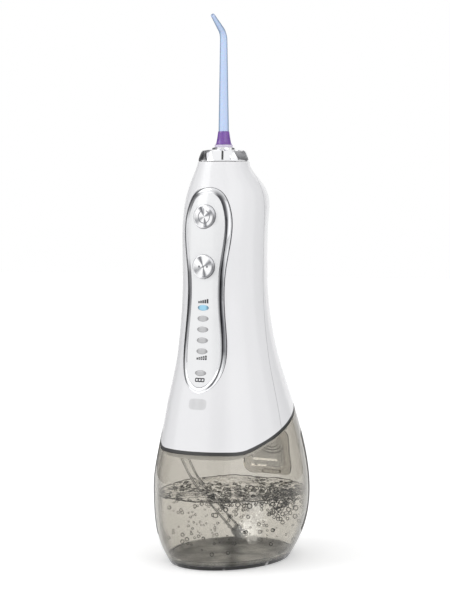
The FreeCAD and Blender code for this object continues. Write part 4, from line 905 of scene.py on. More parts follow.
# ---- panel ----------------------------------------------------------------------------------
# the panel's outline under the neck, in millimetres: its ends, and half its width at each drop between them
PANEL_TOP = 14.0
PANEL_BOTTOM = 124.0
PANEL_HALF_OUTLINE = [(9.1, 17.3), (12.8, 24.0), (14.6, 33.0), (13.9, 45.0), (12.0, 57.5),
                      (11.2, 70.0), (12.1, 86.0), (13.3, 101.0), (12.3, 111.5), (7.4, 120.6)]
TRIM_STEPS = 260
# the trim's section: how far from its outer to its inner edge, and how much of its crown's rise
TRIM_SECTION = ((0.02, 0.0), (0.06, 0.28), (0.13, 0.52), (0.22, 0.74), (0.33, 0.90), (0.45, 0.99),
                (0.57, 1.0), (0.68, 0.93), (0.78, 0.76), (0.87, 0.50), (0.94, 0.22), (0.98, 0.0))
TRIM_SINK = 0.46 * MM
TRIM_DEPTH = 0.9 * MM


def panel_outline(count):
    """count points (x, z) spread evenly round the panel's hourglass."""
    right = [(half * MM, NECK - drop * MM) for half, drop in PANEL_HALF_OUTLINE]
    left = [(-x, z) for x, z in reversed(right)]
    knots = [(0, NECK - PANEL_TOP * MM), *right, (0, NECK - PANEL_BOTTOM * MM), *left]
    knots = np.array(knots + knots[:1], float)
    lengths = np.concatenate([[0], np.cumsum(np.linalg.norm(np.diff(knots, axis=0), axis=1))])
    places = np.linspace(0, lengths[-1], count, endpoint=False)
    return list(zip(np.interp(places, lengths, knots[:, 0]), np.interp(places, lengths, knots[:, 1])))


def trim_edges(tree, count):
    """The trim's outer and inner outlines as (x, z), found along lines out from the panel's middle."""
    middle_z = NECK - (PANEL_TOP + PANEL_BOTTOM) / 2 * MM

    def hit(reach, way):
        start = Vector((reach * way[0], -0.2, middle_z + reach * way[1]))
        return tree.ray_cast(start, -FRONT)[0] is not None

    def edge(inside, outside, way):
        for _ in range(14):
            half = (inside + outside) / 2
            if hit(half, way):
                inside = half
            else:
                outside = half
        return inside

    outer, inner = [], []
    for x, z in panel_outline(count):
        length = math.hypot(x, z - middle_z)
        way = (x / length, (z - middle_z) / length)
        reaches = [length * (1.12 - 0.004 * step) for step in range(110)]
        found = [reach for reach in reaches if hit(reach, way)]
        for edges, inside, step in ((outer, found[0], 0.004), (inner, found[-1], -0.004)):
            reach = edge(inside, inside + length * step, way)
            edges.append((reach * way[0], middle_z + reach * way[1]))
    return outer, inner


def trim_band():
    """The bright band round the panel, crowned towards its outer edge, with a UV layer round and across it."""
    look = looks("panel")
    tree = surface_tree("panel_trim")
    points = []
    for (outer_x, outer_z), (inner_x, inner_z) in zip(*trim_edges(tree, TRIM_STEPS)):
        row = []
        for share, height in TRIM_SECTION:
            x = outer_x + (inner_x - outer_x) * share
            z = outer_z + (inner_z - outer_z) * share
            place, normal = on_front(tree, x, z)
            row.append(place + normal * (look.trim_rise * height - TRIM_SINK))
        points += [row[0] - FRONT * TRIM_DEPTH, *row, row[-1] - FRONT * TRIM_DEPTH]
    spread = [0.0, *(share for share, _ in TRIM_SECTION), 1.0]
    across = len(spread)
    faces = []
    for row in range(TRIM_STEPS):
        faces += ring_quads(row * across, (row + 1) % TRIM_STEPS * across, across)
    band = make("trim_band", points, faces, "handle", "band_chrome", "chrome", ["panel_trim"], crease=50)
    layer = band.data.uv_layers.new(name="band")
    for loop in band.data.loops:
        along, step = divmod(loop.vertex_index, across)
        layer.data[loop.index].uv = (along / TRIM_STEPS, spread[step])


def button_cap(name, node, body, finish):
    """A turned cap: rounded rim, shallow dish, hollow behind, and its stem."""
    low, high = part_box(node)
    edge = (high.x - low.x) / 2 / MM
    depth = (high.y - low.y) / MM
    dish, dish_depth = edge - 0.75, 0.42
    profile = [(0.0, dish_depth)]
    for step in range(1, 15):
        share = step / 14
        profile.append((dish * share, dish_depth * (1 - share ** 2) + 0.02 * (step % 2)))
    profile += [(edge - 0.6, -0.02), (edge - 0.42, 0.0), (edge - 0.22, 0.07), (edge - 0.06, 0.22),
                (edge, 0.45), (edge, 2.2), (edge - 0.1, 2.3), (edge - 1.2, 2.3), (edge - 1.2, 1.6),
                (1.6, 1.6), (1.6, depth - 0.15), (1.45, depth), (0.0, depth)]
    points, faces = lathe(profile, 96)
    face = Vector(((low.x + high.x) / 2, low.y, (low.z + high.z) / 2))
    make(name, placed(points, face, -FRONT), faces, body, finish, "chrome", [node], crease=40)


LENS_HALF_X = 3.36 * MM
LENS_HALF_Z = 1.51 * MM
LENS_DEPTH = 2.0 * MM
LENS_RISE = 0.55 * MM
# the lens's dome: how far out from its middle, and how much of its rise
LENS_DOME = ((0.0, 0.34), (0.25, 0.33), (0.5, 0.29), (0.7, 0.22), (0.85, 0.10), (0.94, -0.05), (1.0, -0.28))
LENS_GAP = 1.5 * MM
POINTED = 1e-4


def lamp_heights():
    """Heights of the lamps' middles from the top one down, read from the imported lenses."""
    heights = sorted({round(vertex.co.z, 5) for vertex in NODES["lamp_lenses"].data.vertices})
    groups = [[heights[0]]]
    for height in heights[1:]:
        if height - groups[-1][-1] > LENS_GAP:
            groups.append([])
        groups[-1].append(height)
    return [(group[0] + group[-1]) / 2 for group in reversed(groups)]


def lamp_lens_row(heights):
    """Oval lenses, each with a low dome and a rounded shoulder below the plate's face."""
    tree = surface_tree("panel_plate", "lamp_lenses")
    steps = 48
    for number, z in enumerate(heights, 1):
        points = []
        for share, rise in LENS_DOME:
            for turn in turns_of(steps):
                x = math.cos(turn) * LENS_HALF_X * max(share, POINTED)
                up = math.sin(turn) * LENS_HALF_Z * max(share, POINTED)
                place, _ = on_front(tree, x * 0.9, z + up * 0.9)
                points.append(Vector((x, place.y - rise * LENS_RISE, z + up)))
        back = points[0].y + LENS_DEPTH
        rim = points[-steps:]
        for share in (1.0, POINTED):
            points += [Vector((corner.x * share, back, z + (corner.z - z) * share)) for corner in rim]
        faces = skin(len(LENS_DOME) + 2, steps)
        faces += [tuple(range(steps)), tuple(range(len(points) - steps, len(points)))]
        finish, stands_for = ("lamp_lit", ["lamp_lenses"]) if number == 1 else ("lamp_unlit", [])
        make(f"lamp_lens_{number}", points, faces, "handle", finish, "lamp_plastic", stands_for, 60)


INK_LIFT = 0.035 * MM
INK_ROOT = -0.25 * MM
MARK_PITCH = 1.3 * MM
MARK_WIDTH = 0.95 * MM
FILLED = 0.04
HOLLOW = 0.34


def printed(name, tree, shapes):
    """Thin ink on the panel: each shape is a closed loop of (x, z) and the loop of its hole."""
    parts = []
    for loops in shapes:
        count = len(loops[0])
        points = []
        for lift in (INK_LIFT, INK_ROOT):
            for x, z in (*loops[0], *loops[1]):
                place, _ = on_front(tree, x, z)
                points.append(Vector((x, place.y - lift, z)))
        faces = []
        for low, high in ((0, 1), (2, 3), (0, 2), (1, 3)):
            faces += ring_quads(low * count, high * count, count)
        parts.append((points, faces))
    make(name, *gather(parts), "handle", "printed_ink")


def bar(x, z, width, height, hole):
    """An upright bar as a loop, with a hole whose sides are that share of its own."""
    return [[(x + i * width * share / 2, z + height * (0.5 + j * share / 2))
             for i, j in ((-1, -1), (1, -1), (1, 1), (-1, 1))] for share in (1, hole)]


def rising_bars(z, holes):
    return [bar((i - 2) * MARK_PITCH, z, MARK_WIDTH, (1.1 + 0.3 * i) * MM, hole)
            for i, hole in enumerate(holes)]


def squarish(way):
    return math.copysign(abs(way) ** 0.6, way)


def link(x, z, half_x, half_z, line):
    """A rounded loop of that line's width."""
    ways = [(squarish(math.cos(turn)), squarish(math.sin(turn))) for turn in turns_of(24)]
    return [[(x + (half_x - inset) * way_x, z + (half_z - inset) * way_z) for way_x, way_z in ways]
            for inset in (0.0, line)]


def panel_marks(heights):
    """Full rising bars over the strongest step, hollow ones under the weakest, and links for the pulse."""
    tree = surface_tree("panel_plate", "lamp_lenses", "front_shell")
    strongest, weakest, pulse = heights[0], heights[4], heights[5]
    printed("mark_strong", tree, rising_bars(strongest + 2.4 * MM, [FILLED] * 5))
    printed("mark_weak", tree, rising_bars(weakest - 4.5 * MM, [FILLED] + [HOLLOW] * 4))
    links = [link(x * MM, pulse - 3.6 * MM, 1.15 * MM, 1.1 * MM, 0.58 * MM) for x in (-1.75, 0.0, 1.75)]
    printed("mark_pulse", tree, links)


# ---- nozzle ---------------------------------------------------------------------------------
FACET_WIDE = math.radians(44)
# where the facets start over the collar's foot and how high they are, in millimetres
FACET_FOOT = 0.9
FACET_RISE = 4.6
COLLAR_OUT = at_turn(COLLAR_TURN - math.radians(90))


def collar_form():
    """Chrome collar: a round foot, leaning facets, a flat top and the raised ring."""
    look = looks("nozzle")
    low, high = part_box("chrome_collar")
    top, ring_top = 6.3, (high.z - low.z) / MM
    sector = 2 * math.pi / look.facets
    start = COLLAR_TURN - math.radians(90) - FACET_WIDE / 2

    def facet(radius, height, turn):
        rise = (height / MM - FACET_FOOT) / FACET_RISE
        if not -0.01 <= rise <= 1.01:
            return radius, height
        place = (turn - start - look.lean * rise) % sector
        passed, width = (0, FACET_WIDE) if place < FACET_WIDE else (FACET_WIDE, sector - FACET_WIDE)
        away = place - passed - width / 2
        return radius * math.cos(width / 2) / math.cos(away), height

    profile = [(7.2, 0.0), (13.5, 0.0), (13.9, 0.15), (14.0, 0.4), (13.92, 0.62), (13.7, 0.74)]
    for step in range(9):
        share = step / 8
        profile.append((13.85 - 1.15 * share - 0.35 * share * share, FACET_FOOT + FACET_RISE * share))
    profile += [(11.9, top - 0.35), (11.2, top - 0.05), (10.6, top), (6.9, top), (6.35, top + 0.25),
                (6.35, ring_top - 0.3), (6.1, ring_top), (5.7, ring_top), (5.5, ring_top - 0.3), (5.5, 1.0),
                (7.2, 0.6)]
    points, faces = lathe(profile + profile[:1], 480, facet)
    origin = Vector((NOZZLE.x, NOZZLE.y, low.z))
    make("collar_facets", moved(points, origin), faces, "collar", "collar_chrome", "chrome",
         ["chrome_collar"], crease=9)


def collar_marks():
    """The pointer cut into the front facet, and the bead over it."""
    side = UP.cross(COLLAR_OUT)
    origin = Vector((NOZZLE.x, NOZZLE.y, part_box("chrome_collar")[0].z))
    rows = ((0.9, 13.15), (3.2, 12.65), (5.4, 11.7), (6.1, 11.35))
    section = ((-0.52, -0.6), (-0.52, 0.06), (-0.3, 0.16), (0.3, 0.16), (0.52, 0.06), (0.52, -0.6))
    points = []
    for height, reach in rows:
        for across, lift in section:
            points.append(origin + COLLAR_OUT * (reach + lift) * MM + side * across * MM + UP * height * MM)
    faces = skin(len(rows), len(section))
    faces += [tuple(range(len(section))), tuple(range(len(points) - len(section), len(points)))]
    make("collar_pointer", points, faces, "collar", "gasket_rubber", "grey_rubber")
    bead = ball(origin + COLLAR_OUT * 10.7 * MM + UP * 6.5 * MM, 0.85 * MM, 20, 12)
    make("collar_bead", *bead, "collar", "inner_white", "white_plastic")


def tip_ring():
    """The marking ring: a waisted cone with a bead at its foot."""
    low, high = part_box("tip_ring")
    height = (high.z - low.z) / MM
    foot = (high.x - low.x) / 2 / MM
    top = 2.98
    profile = [(top - 0.1, 0.0), (foot - 0.25, 0.0), (foot - 0.05, 0.15), (foot, 0.4), (foot - 0.1, 0.65),
               (foot - 0.3, 0.85)]
    waist = foot - 0.3
    for step in range(1, 9):
        share = step / 8
        profile.append((waist - (waist - top - 0.12) * share ** 0.8, 0.85 + (height - 1.0) * share))
    profile += [(top + 0.05, height), (top - 0.1, height)]
    points, faces = lathe(profile + profile[:1], 72)
    origin = Vector((NOZZLE.x, NOZZLE.y, low.z))
    make("marking_ring", moved(points, origin), faces, "jet_tip", "ring_purple", "tip_purple", ["tip_ring"],
         crease=50)


JET_LEAN = math.radians(55)
JET_ARC = 7.0 * MM
JET_END = 1.05 * MM


def jet_form():
    """The jet tube: tapered, easing over into its straight end, with the bore through it."""
    low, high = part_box("jet_tube")
    way = Vector((0, -math.sin(JET_LEAN), math.cos(JET_LEAN)))
    end = Vector((NOZZLE.x, low.y + JET_END * math.cos(JET_LEAN), high.z - JET_END * math.sin(JET_LEAN)))
    reach = (NOZZLE.y - end.y - JET_ARC * (1 - math.cos(JET_LEAN))) / math.sin(JET_LEAN)
    bend = end.z - reach * math.cos(JET_LEAN) - JET_ARC * math.sin(JET_LEAN)
    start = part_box("tip_ring")[0].z + 0.2 * MM
    straight = [Vector((NOZZLE.x, NOZZLE.y, start + (bend - start) * share / 12)) for share in range(12)]
    path = list(straight)
    for step in range(15):
        turn = JET_LEAN * step / 14
        y, z = NOZZLE.y - JET_ARC * (1 - math.cos(turn)), bend + JET_ARC * math.sin(turn)
        path.append(Vector((NOZZLE.x, y, z)))
    path += [path[-1].lerp(end, share / 8) for share in range(1, 8)]
    path += [end - way * 0.25 * MM, end - way * 0.06 * MM, end]
    corner = path[len(straight)]
    outer, inner = [], []
    for place in path:
        if place.z < bend:
            share = (place.z - start) / (bend - start)
            outer.append((2.95 - 0.95 * share) * MM)
            inner.append((1.2 - 0.2 * share) * MM)
        else:
            share = min(1.0, (place - corner).length / (end - corner).length)
            outer.append((2.0 - 0.95 * share ** 1.2) * MM)
            inner.append((1.0 - 0.6 * share) * MM)
    outer[-2] -= 0.08 * MM
    outer[-1] -= 0.25 * MM
    make("jet_nozzle", *tube(path, (outer, inner), 40), "jet_tip", "jet_blue", "tip_blue", ["jet_tube"],
         crease=50)


# ---- tank -----------------------------------------------------------------------------------
HOSE_RADIUS = 2.3 * MM
HOSE_BORE = 1.45 * MM


def suction_hose():
    """The clear hose, hanging from its connector into the water."""
    line = smooth_line(HOSE_POINTS, "hose_route")
    points, faces = tube(line, ([HOSE_RADIUS] * len(line), [HOSE_BORE] * len(line)), 36)
    hose = make("clear_hose", points, faces, "handle", "hose_clear", "clear_tube", ["suction_hose"])
    hose_filter(line)


def hose_filter(line):
    """The weighted inlet on the hose's end: a grip, a slotted barrel and a blunt point."""
    profile = [(0.0, 0.0), (2.5, 0.0), (2.85, 0.2), (2.95, 0.6), (2.8, 1.0), (2.8, 1.3), (3.1, 1.5),
               (3.15, 1.9), (3.15, 2.4), (3.15, 5.0), (3.05, 5.5), (2.7, 6.2), (2.0, 6.9), (1.1, 7.3),
               (0.0, 7.4)]

    def slots(radius, height, turn):
        barrel = 2.3 < height / MM < 5.2
        slot = math.cos(turn * 10) > 0.45
        return (radius - 0.45 * MM if barrel and slot else radius), height

    points, faces = lathe(profile, 120, slots)
    return make("slotted_filter", placed(points, line[-1], line[-1] - line[-2]), faces, "handle",
                "filter_grey", "grey_plastic", ["hose_filter"], crease=35)


def door_strip(tree, line, half, rise):
    """A raised strip on the door's outer face along (x, z) pairs, all in millimetres."""
    points = []
    for x, z in line:
        place, normal, _, _ = tree.ray_cast(Vector((x * MM, 0.2, z * MM)), FRONT)
        if place is None:
            raise RuntimeError(f"no door behind {x:.1f}, {z:.1f}")
        out = normal if normal.y > 0 else -normal
        for up, lift in ((-half, -0.3), (-half * 0.7, rise), (half * 0.7, rise), (half, -0.3)):
            points.append(place + UP * up * MM + out * lift * MM)
    faces = skin(len(line), 4)
    faces += [(0, 1, 2, 3), tuple(range(len(points) - 4, len(points)))]
    return points, faces


def door_ribs():
    """The fill door's two stiffening ribs, which glow white as painted highlights, and the fine moulded arcs
    over them.
    """
    tree = surface_tree("fill_door")
    ribs = []
    for left, right, z, half in ((-11.0, 4.5, 47.2, 0.65), (-12.0, -3.0, 43.6, 0.6)):
        line = [(left + (right - left) * share / 8, z) for share in range(9)]
        ribs.append(door_strip(tree, line, half, 0.18))
    make("door_ribs", *gather(ribs), "fill_door", "rib_bright", "clear_tube", crease=40)
    arcs = []
    for radius in (6.0, 8.2, 10.4):
        line = []
        for step in range(17):
            turn = math.radians(195 + 130 * step / 16)
            line.append((1.0 + radius * math.cos(turn), 59.5 + radius * 0.8 * math.sin(turn)))
        arcs.append(door_strip(tree, line, 0.22, 0.14))
    make("door_arcs", *gather(arcs), "fill_door", "arc_dark", "smoky_plastic", crease=40)


# how far the lip of the tank's base stands in from the tank's wall, round the water low down
LIP_WALL = 2.6 * MM
WATER_STEPS = 96
WATER_SHARES = [1.0, 0.985, 0.95, 0.9, 0.83, 0.76, 0.69, 0.62, 0.55, 0.48, 0.41, 0.34, 0.27, 0.2, 0.13, 0.07]
CLIMB = 0.5 * MM


class Basin:
    """The inside of the tank wall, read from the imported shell."""

    def __init__(self):
        self.tree = surface_tree("tank_shell")
        self.floor = surface_tree("tank_base").ray_cast(Vector((0, 0, 0.05)), -UP)[0].z
        self.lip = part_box("tank_base")[1].z + 0.1 * MM
        self.level = looks("tank").water_level

    def reach(self, turn, z):
        """Distance from the axis to the wall, or to the base's lip low down."""
        place, _, _, _ = self.tree.ray_cast(Vector((0, 0, max(z, self.lip))), at_turn(turn))
        if place is None:
            raise RuntimeError(f"no tank wall at height {z:.4f}")
        return Vector((place.x, place.y)).length - (0.12 * MM if z > self.lip else LIP_WALL)

    def ripple(self, x, y):
        """Height of the water's face: a swell, and a splash near the fill door."""
        place = Vector((x, y, 0))
        swell = noise.noise(place * 70) * 1.3 + noise.noise(place * 180 + Vector((3, 1, 7))) * 0.6
        splash = math.exp(-((x + 0.018) ** 2 + (y - 0.028) ** 2) / 0.00018) * 1.8
        return self.level + looks("tank").wave * (swell + splash)

    def face(self, drop, gap=0.0):
        """Rings of points over the water's face from the wall in, set down by drop and in by gap."""
        points = []
        for share in WATER_SHARES:
            climb = CLIMB * max(0.0, (share - 0.96) / 0.04)
            for turn in turns_of(WATER_STEPS):
                x, y, _ = at_turn(turn, (self.reach(turn, self.level) - gap) * share)
                points.append(Vector((x, y, self.ripple(x, y) + climb - drop)))
        return points + [Vector((0, 0, self.ripple(0, 0) - drop))]


def domed(rows, start, tip):
    """A skin over rows of the water's points that closes on the point tip."""
    faces = skin(rows, WATER_STEPS, start)
    base = start + (rows - 1) * WATER_STEPS
    return faces + [(base + step, base + (step + 1) % WATER_STEPS, tip) for step in range(WATER_STEPS)]


def water_pieces(basin):
    """The body of water, its rippled face and the line where it climbs the wall."""
    turns = turns_of(WATER_STEPS)
    heights = [basin.floor - 0.05 * MM, basin.lip, basin.lip + 0.05 * MM]
    rise = basin.level - basin.lip
    heights += [basin.lip + rise * share for share in (0.1, 0.22, 0.35, 0.5, 0.65, 0.8, 0.92)]
    points = [Vector((0, 0, heights[0]))]
    for z in heights:
        points += [at_turn(turn, basin.reach(turn, z), z) for turn in turns]
    points += basin.face(0.55 * MM)
    faces = [(0, 1 + (step + 1) % WATER_STEPS, 1 + step) for step in range(WATER_STEPS)]
    faces += domed(len(heights) + len(WATER_SHARES), 1, len(points) - 1)
    make("water_body", points, faces, "tank", "still_water", crease=70)

    upper, lower = basin.face(0.0, 0.05 * MM), basin.face(0.5 * MM, 0.05 * MM)
    count, rows = len(upper), len(WATER_SHARES)
    faces = domed(rows, 0, count - 1) + domed(rows, count, 2 * count - 1) + ring_quads(0, count, WATER_STEPS)
    make("water_face", upper + lower, faces, "tank", "rippled_water", crease=70)

    points, faces = [], []
    for step, turn in enumerate(turns):
        x, y, _ = at_turn(turn, basin.reach(turn, basin.level) - 0.35 * MM)
        middle = Vector((x, y, basin.ripple(x, y) + 0.25 * MM))
        size = 0.36 * MM * (0.75 + 0.5 * abs(noise.noise(middle * 160)))
        for angle in turns_of(8):
            points.append(middle + (at_turn(turn) * math.cos(angle) * 0.8 + UP * math.sin(angle)) * size)
        faces += ring_quads(step * 8, (step + 1) % WATER_STEPS * 8, 8)
    make("water_line", points, faces, "tank", "water_rim", crease=70)


BURST_SOURCE = Vector((0.0075, 0.004, 0.0125))
# the clouds of fine air: how far out and up from the burst's source and their radius, in mm, and how tall
CLOUDS = ((2.0, 0.5, 5.6, 1.0), (0.5, 5.5, 4.2, 1.1), (4.0, 12.0, 4.6, 1.5), (5.5, 18.5, 4.4, 1.1))


def bubble_pieces(basin):
    """Bubbles through the water, froth on its face, and the burst beside the filter, bright with painted light.
    """
    total = looks("tank").bubbles
    chance = random.Random(7)
    level = basin.level
    taken = []

    def clear_of_others(place, radius):
        for other, size in taken:
            if (other - place).length < (radius + size) * 0.95:
                return False
        taken.append((place, radius))
        return True

    def scatter(count, pick, small, large, flat=1.0):
        """Balls at picked places, as many as fit in the water clear of the wall and of each other."""
        found = []
        for _ in range(count * 12):
            if len(found) == count:
                break
            place = pick()
            radius = small + (large - small) * chance.random() ** 1.4
            if place.z - radius < basin.floor + 0.5 * MM or place.z > level + 0.3 * MM:
                continue
            turn = math.atan2(place.y, place.x)
            if Vector((place.x, place.y)).length + radius > basin.reach(turn, place.z) - 0.3 * MM:
                continue
            if clear_of_others(place, radius):
                found.append(ball(place, radius, 12, 8, flat))
        return found

    def anywhere():
        turn, out = chance.uniform(0, 2 * math.pi), math.sqrt(chance.random())
        z = basin.floor + (level - 1.2 * MM - basin.floor) * chance.random() ** 0.55
        return at_turn(turn, basin.reach(turn, z) * out, z)

    def swarm(x, spread_x, y, spread_y, depth):
        """Picks places round x, y, most of them high in the water."""
        def pick():
            place = (chance.gauss(x, spread_x), chance.gauss(y, spread_y), level - abs(chance.gauss(0, depth)))
            return Vector(place)
        return pick

    def froth():
        turn, out = chance.uniform(0, 2 * math.pi), math.sqrt(chance.random())
        reach = basin.reach(turn, level) * out
        x, y = reach * math.cos(turn), reach * math.sin(turn)
        return Vector((x, y, basin.ripple(x, y) - 0.2 * MM))

    def burst():
        if chance.random() < 0.55:
            place = (chance.gauss(0, 0.0026), chance.gauss(0, 0.003), abs(chance.gauss(0, 0.0038)))
        else:
            rise = abs(chance.gauss(0, 0.010))
            place = (chance.gauss(0.003 + rise * 0.3, 0.0022 + rise * 0.15), chance.gauss(0, 0.004), rise)
        return BURST_SOURCE + Vector(place)

    bubbles = scatter(total * 2 // 3, anywhere, 0.4 * MM, 1.15 * MM)
    bubbles += scatter(total // 3, swarm(0.013, 0.011, 0.006, 0.014, 0.006), 0.45 * MM, 1.7 * MM)
    bubbles += scatter(total // 5, swarm(0.024, 0.006, 0.013, 0.008, 0.007), 0.6 * MM, 1.5 * MM)
    make("bubbles", *gather(bubbles), "tank", "bubble_clear", crease=80)
    foam = scatter(total // 2, froth, 0.6 * MM, 1.8 * MM, 0.5)
    make("froth", *gather(foam), "tank", "bubble_clear", crease=80)
    taken.clear()
    make("burst", *gather(scatter(230, burst, 0.15 * MM, 0.5 * MM)), "tank", "bubble_bright", crease=80)


def air_cloud():
    """The fine air round the burst, as four uneven clouds."""
    clouds = []
    for out, rise, radius, tall in CLOUDS:
        centre = BURST_SOURCE + Vector((out, 0, rise)) * MM
        points, faces = ball(Vector((0, 0, 0)), radius * MM, 28, 18, tall)
        uneven = [centre + point * (1 + 0.35 * noise.noise(point * 260 + centre * 900)) for point in points]
        clouds.append((uneven, faces))
    make("air_cloud", *gather(clouds), "tank", "fine_air", crease=80)


# ---- operators ------------------------------------------------------------------------------
# the cards: name, azimuth from the front and width in degrees, distance, lowest and highest height
CARDS = (("card_left", -100, 54, 0.62, 0.0, 0.85), ("card_right", 138, 50, 0.62, 0.0, 0.85),
         ("card_front", 16, 30, 0.62, 0.0, 0.35), ("card_low_left", 256, 17, 0.07, 0.001, 0.066),
         ("card_low_right", 160, 17, 0.07, 0.001, 0.066))
# the lamps: name, place, size and power
LAMPS = (("key_lamp", (-0.75, -0.75, 0.95), 0.7, 3.6), ("fill_lamp", (0.95, -0.55, 0.55), 0.8, 1.6))
LIT_POINT = Vector((0, 0, 0.13))
FLOOR_HALF = 4.0
CAMERA_SHIFT = (-0.0108, -0.135)


class StageStep(bpy.types.Operator):
    """Sets up the camera, the floor, the lamps and the white surroundings"""
    bl_idname = "flosser.stage"
    bl_label = "Stage"

    def execute(self, context):
        look = looks("stage")
        camera_data = bpy.data.cameras.new("camera")
        camera_data.lens = look.lens
        camera_data.shift_x, camera_data.shift_y = CAMERA_SHIFT
        camera_data.clip_end = 20
        camera = add("camera", camera_data)
        camera.location = (look.distance * math.sin(look.azimuth), -look.distance * math.cos(look.azimuth),
                           look.height)
        camera.rotation_euler = (math.radians(90), 0, look.azimuth)
        context.scene.camera = camera
        context.scene.view_settings.view_transform = "Standard"
        self.floor()
        self.lamps()
        for card in CARDS:
            self.card(*card)
        world = bpy.data.worlds.new("surroundings")
        world.use_nodes = True
        WorldLight(world)
        context.scene.world = world
        return {"FINISHED"}

    def floor(self):
        mesh = bpy.data.meshes.new("floor")
        corners = [(x * FLOOR_HALF, y * FLOOR_HALF, 0) for x, y in ((-1, -1), (1, -1), (1, 1), (-1, 1))]
        mesh.from_pydata(corners, [], [(0, 1, 2, 3)])
        mesh.materials.append(finish_named("floor_pale"))
        add("floor", mesh)

    def lamps(self):
        for name, place, size, power in LAMPS:
            lamp_data = bpy.data.lights.new(name, "AREA")
            lamp_data.size = size
            lamp_data.energy = power
            lamp = add(name, lamp_data)
            lamp.location = place
            lamp.rotation_euler = (LIT_POINT - Vector(place)).to_track_quat("-Z", "Y").to_euler()

    def card(self, name, turn, width, reach, low, high):
        """A dark upright card, bent round the flosser, that only reflections see."""
        mesh = bpy.data.meshes.new(name)
        steps = 16
        corners, faces = [], []
        for step in range(steps + 1):
            at = math.radians(turn + width * (step / steps - 0.5))
            corners += [(reach * math.sin(at), -reach * math.cos(at), height) for height in (low, high)]
        for step in range(steps):
            faces.append((2 * step, 2 * step + 2, 2 * step + 3, 2 * step + 1))
        mesh.from_pydata(corners, [], faces)
        mesh.materials.append(finish_named("card_shade"))
        card = add(name, mesh)
        card.visible_camera = False
        card.visible_diffuse = False
        card.visible_transmission = False
        card.visible_shadow = False


class HoseStep(bpy.types.Operator):
    """Makes the clear suction hose with its slotted filter"""
    bl_idname = "flosser.hose"
    bl_label = "Suction hose"

    def execute(self, context):
        suction_hose()
        dress("grey_plastic", "hose_connector")
        return {"FINISHED"}


class CasingStep(bpy.types.Operator):
    """Dresses the white shells, the floor of the handle, its screws, seals and socket cover"""
    bl_idname = "flosser.casing"
    bl_label = "Casing"

    def execute(self, context):
        dress("casing_white", "front_shell", "rear_shell")
        dress("panel_white", "panel_plate")
        dress("charge_grey", "charge_window")
        dress("cap_white", "base_cap")
        dress("inner_white", "port_cover")
        dress("gasket_rubber", "tank_gasket")
        dress("grey_rubber", "button_seals")
        dress("steel", "shell_screws")
        return {"FINISHED"}


class PanelStep(bpy.types.Operator):
    """Makes the bright trim, the two turned buttons, the lamp lenses and the printed marks"""
    bl_idname = "flosser.panel"
    bl_label = "Control panel"

    def execute(self, context):
        trim_band()
        button_cap("power_cap", "power_button", "power_button", "power_chrome")
        button_cap("mode_cap", "mode_button", "mode_button", "mode_chrome")
        dress("grey_plastic", "power_plunger", "mode_plunger")
        heights = lamp_heights()
        lamp_lens_row(heights)
        panel_marks(heights)
        return {"FINISHED"}


class NozzleStep(bpy.types.Operator):
    """Makes the faceted collar and the marking ring, and dresses the jet tip"""
    bl_idname = "flosser.nozzle"
    bl_label = "Nozzle"

    def execute(self, context):
        collar_form()
        collar_marks()
        tip_ring()
        jet_form()
        dress("base_lilac", "tip_base")
        dress("white_nylon", "nozzle_seat", "rotary_socket")
        dress("black_rubber", "socket_oring", "tip_oring")
        dress("steel", "socket_clip")
        return {"FINISHED"}


class TankStep(bpy.types.Operator):
    """Dresses the smoky tank, its base, pad and fill door"""
    bl_idname = "flosser.tank"
    bl_label = "Tank"

    def execute(self, context):
        dress("tank_smoke", "tank_shell")
        dress("door_smoke", "fill_door")
        dress("base_smoke", "tank_base")
        dress("black_rubber", "base_pad")
        dress("seal_clear", "fill_door_seal")
        door_ribs()
        dress("steel", "fill_door_pin")
        return {"FINISHED"}


class WaterStep(bpy.types.Operator):
    """Fills the tank with water, froth and bubbles"""
    bl_idname = "flosser.water"
    bl_label = "Water"

    def execute(self, context):
        basin = Basin()
        water_pieces(basin)
        bubble_pieces(basin)
        air_cloud()
        return {"FINISHED"}


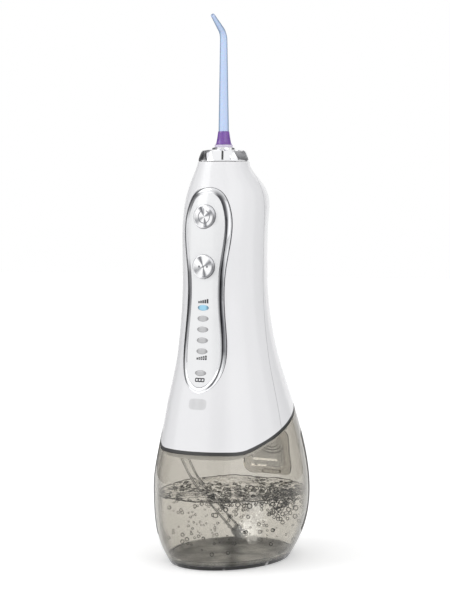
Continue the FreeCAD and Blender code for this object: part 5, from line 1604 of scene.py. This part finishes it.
class DriveStep(bpy.types.Operator):
    """Dresses the motor, gears, crank, piston and pump"""
    bl_idname = "flosser.drive"
    bl_label = "Drive and pump"

    def execute(self, context):
        dress("iron", "motor_can")
        dress("copper_wound", "motor_rotor")
        dress("brass", "pinion")
        dress("steel", "gear_axle", "motor_screws", "head_screws", "wrist_pin")
        dress("white_nylon", "crown_gear", "connecting_rod", "motor_end_cap", "piston")
        dress("grey_plastic", "gear_bracket", "pump_cylinder", "pump_head", "chassis")
        dress("black_rubber", "piston_seal")
        dress("grey_rubber", "inlet_valve", "outlet_valve")
        dress("hose_clear", "inlet_tube")
        return {"FINISHED"}


class ElectricsStep(bpy.types.Operator):
    """Dresses the battery cell, its tabs, the board with its switches and lamps, and the charging socket"""
    bl_idname = "flosser.electrics"
    bl_label = "Electrics"

    def execute(self, context):
        dress("cell_blue", "battery_cell")
        dress("nickel_tab", "battery_tabs")
        dress("board_green", "control_board")
        dress("steel", "tact_switches", "charging_socket")
        dress("lamp_chip", "board_lamps")
        return {"FINISHED"}


class FlosserPanel(bpy.types.Panel):
    """The flosser's steps and looks"""
    bl_idname = "FLOSSER_PT_panel"
    bl_label = "Water flosser"
    bl_space_type = "VIEW_3D"
    bl_region_type = "UI"
    bl_category = "Flosser"

    def draw(self, context):
        for step in STEPS:
            self.layout.operator(step.bl_idname)
        for group, _ in GROUPS:
            box = self.layout.box()
            box.label(text=group.title())
            held = looks(group)
            for name in held.__annotations__:
                box.prop(held, name)


GROUPS = (("casing", CasingLooks), ("panel", PanelLooks), ("nozzle", NozzleLooks), ("tank", TankLooks),
          ("stage", StageLooks))
STEPS = (StageStep, HoseStep, CasingStep, PanelStep, NozzleStep, TankStep, WaterStep, DriveStep,
         ElectricsStep)


def register():
    for name, group in GROUPS:
        bpy.utils.register_class(group)
        setattr(bpy.types.Scene, "flosser_" + name, PointerProperty(type=group))
    for step in STEPS:
        bpy.utils.register_class(step)
    bpy.utils.register_class(FlosserPanel)


def unregister():
    bpy.utils.unregister_class(FlosserPanel)
    for step in reversed(STEPS):
        bpy.utils.unregister_class(step)
    for name, group in reversed(GROUPS):
        delattr(bpy.types.Scene, "flosser_" + name)
        bpy.utils.unregister_class(group)


def main():
    register()
    for step in STEPS:
        space, name = step.bl_idname.split(".")
        getattr(getattr(bpy.ops, space), name)()
    undressed = [name for name, node in NODES.items() if not node.hide_render and not any(
        material.name in FINISHES for material in node.data.materials)]
    if undressed:
        raise RuntimeError(f"these nodes have no finish: {undressed}")


if __name__ == "__main__":
    main()
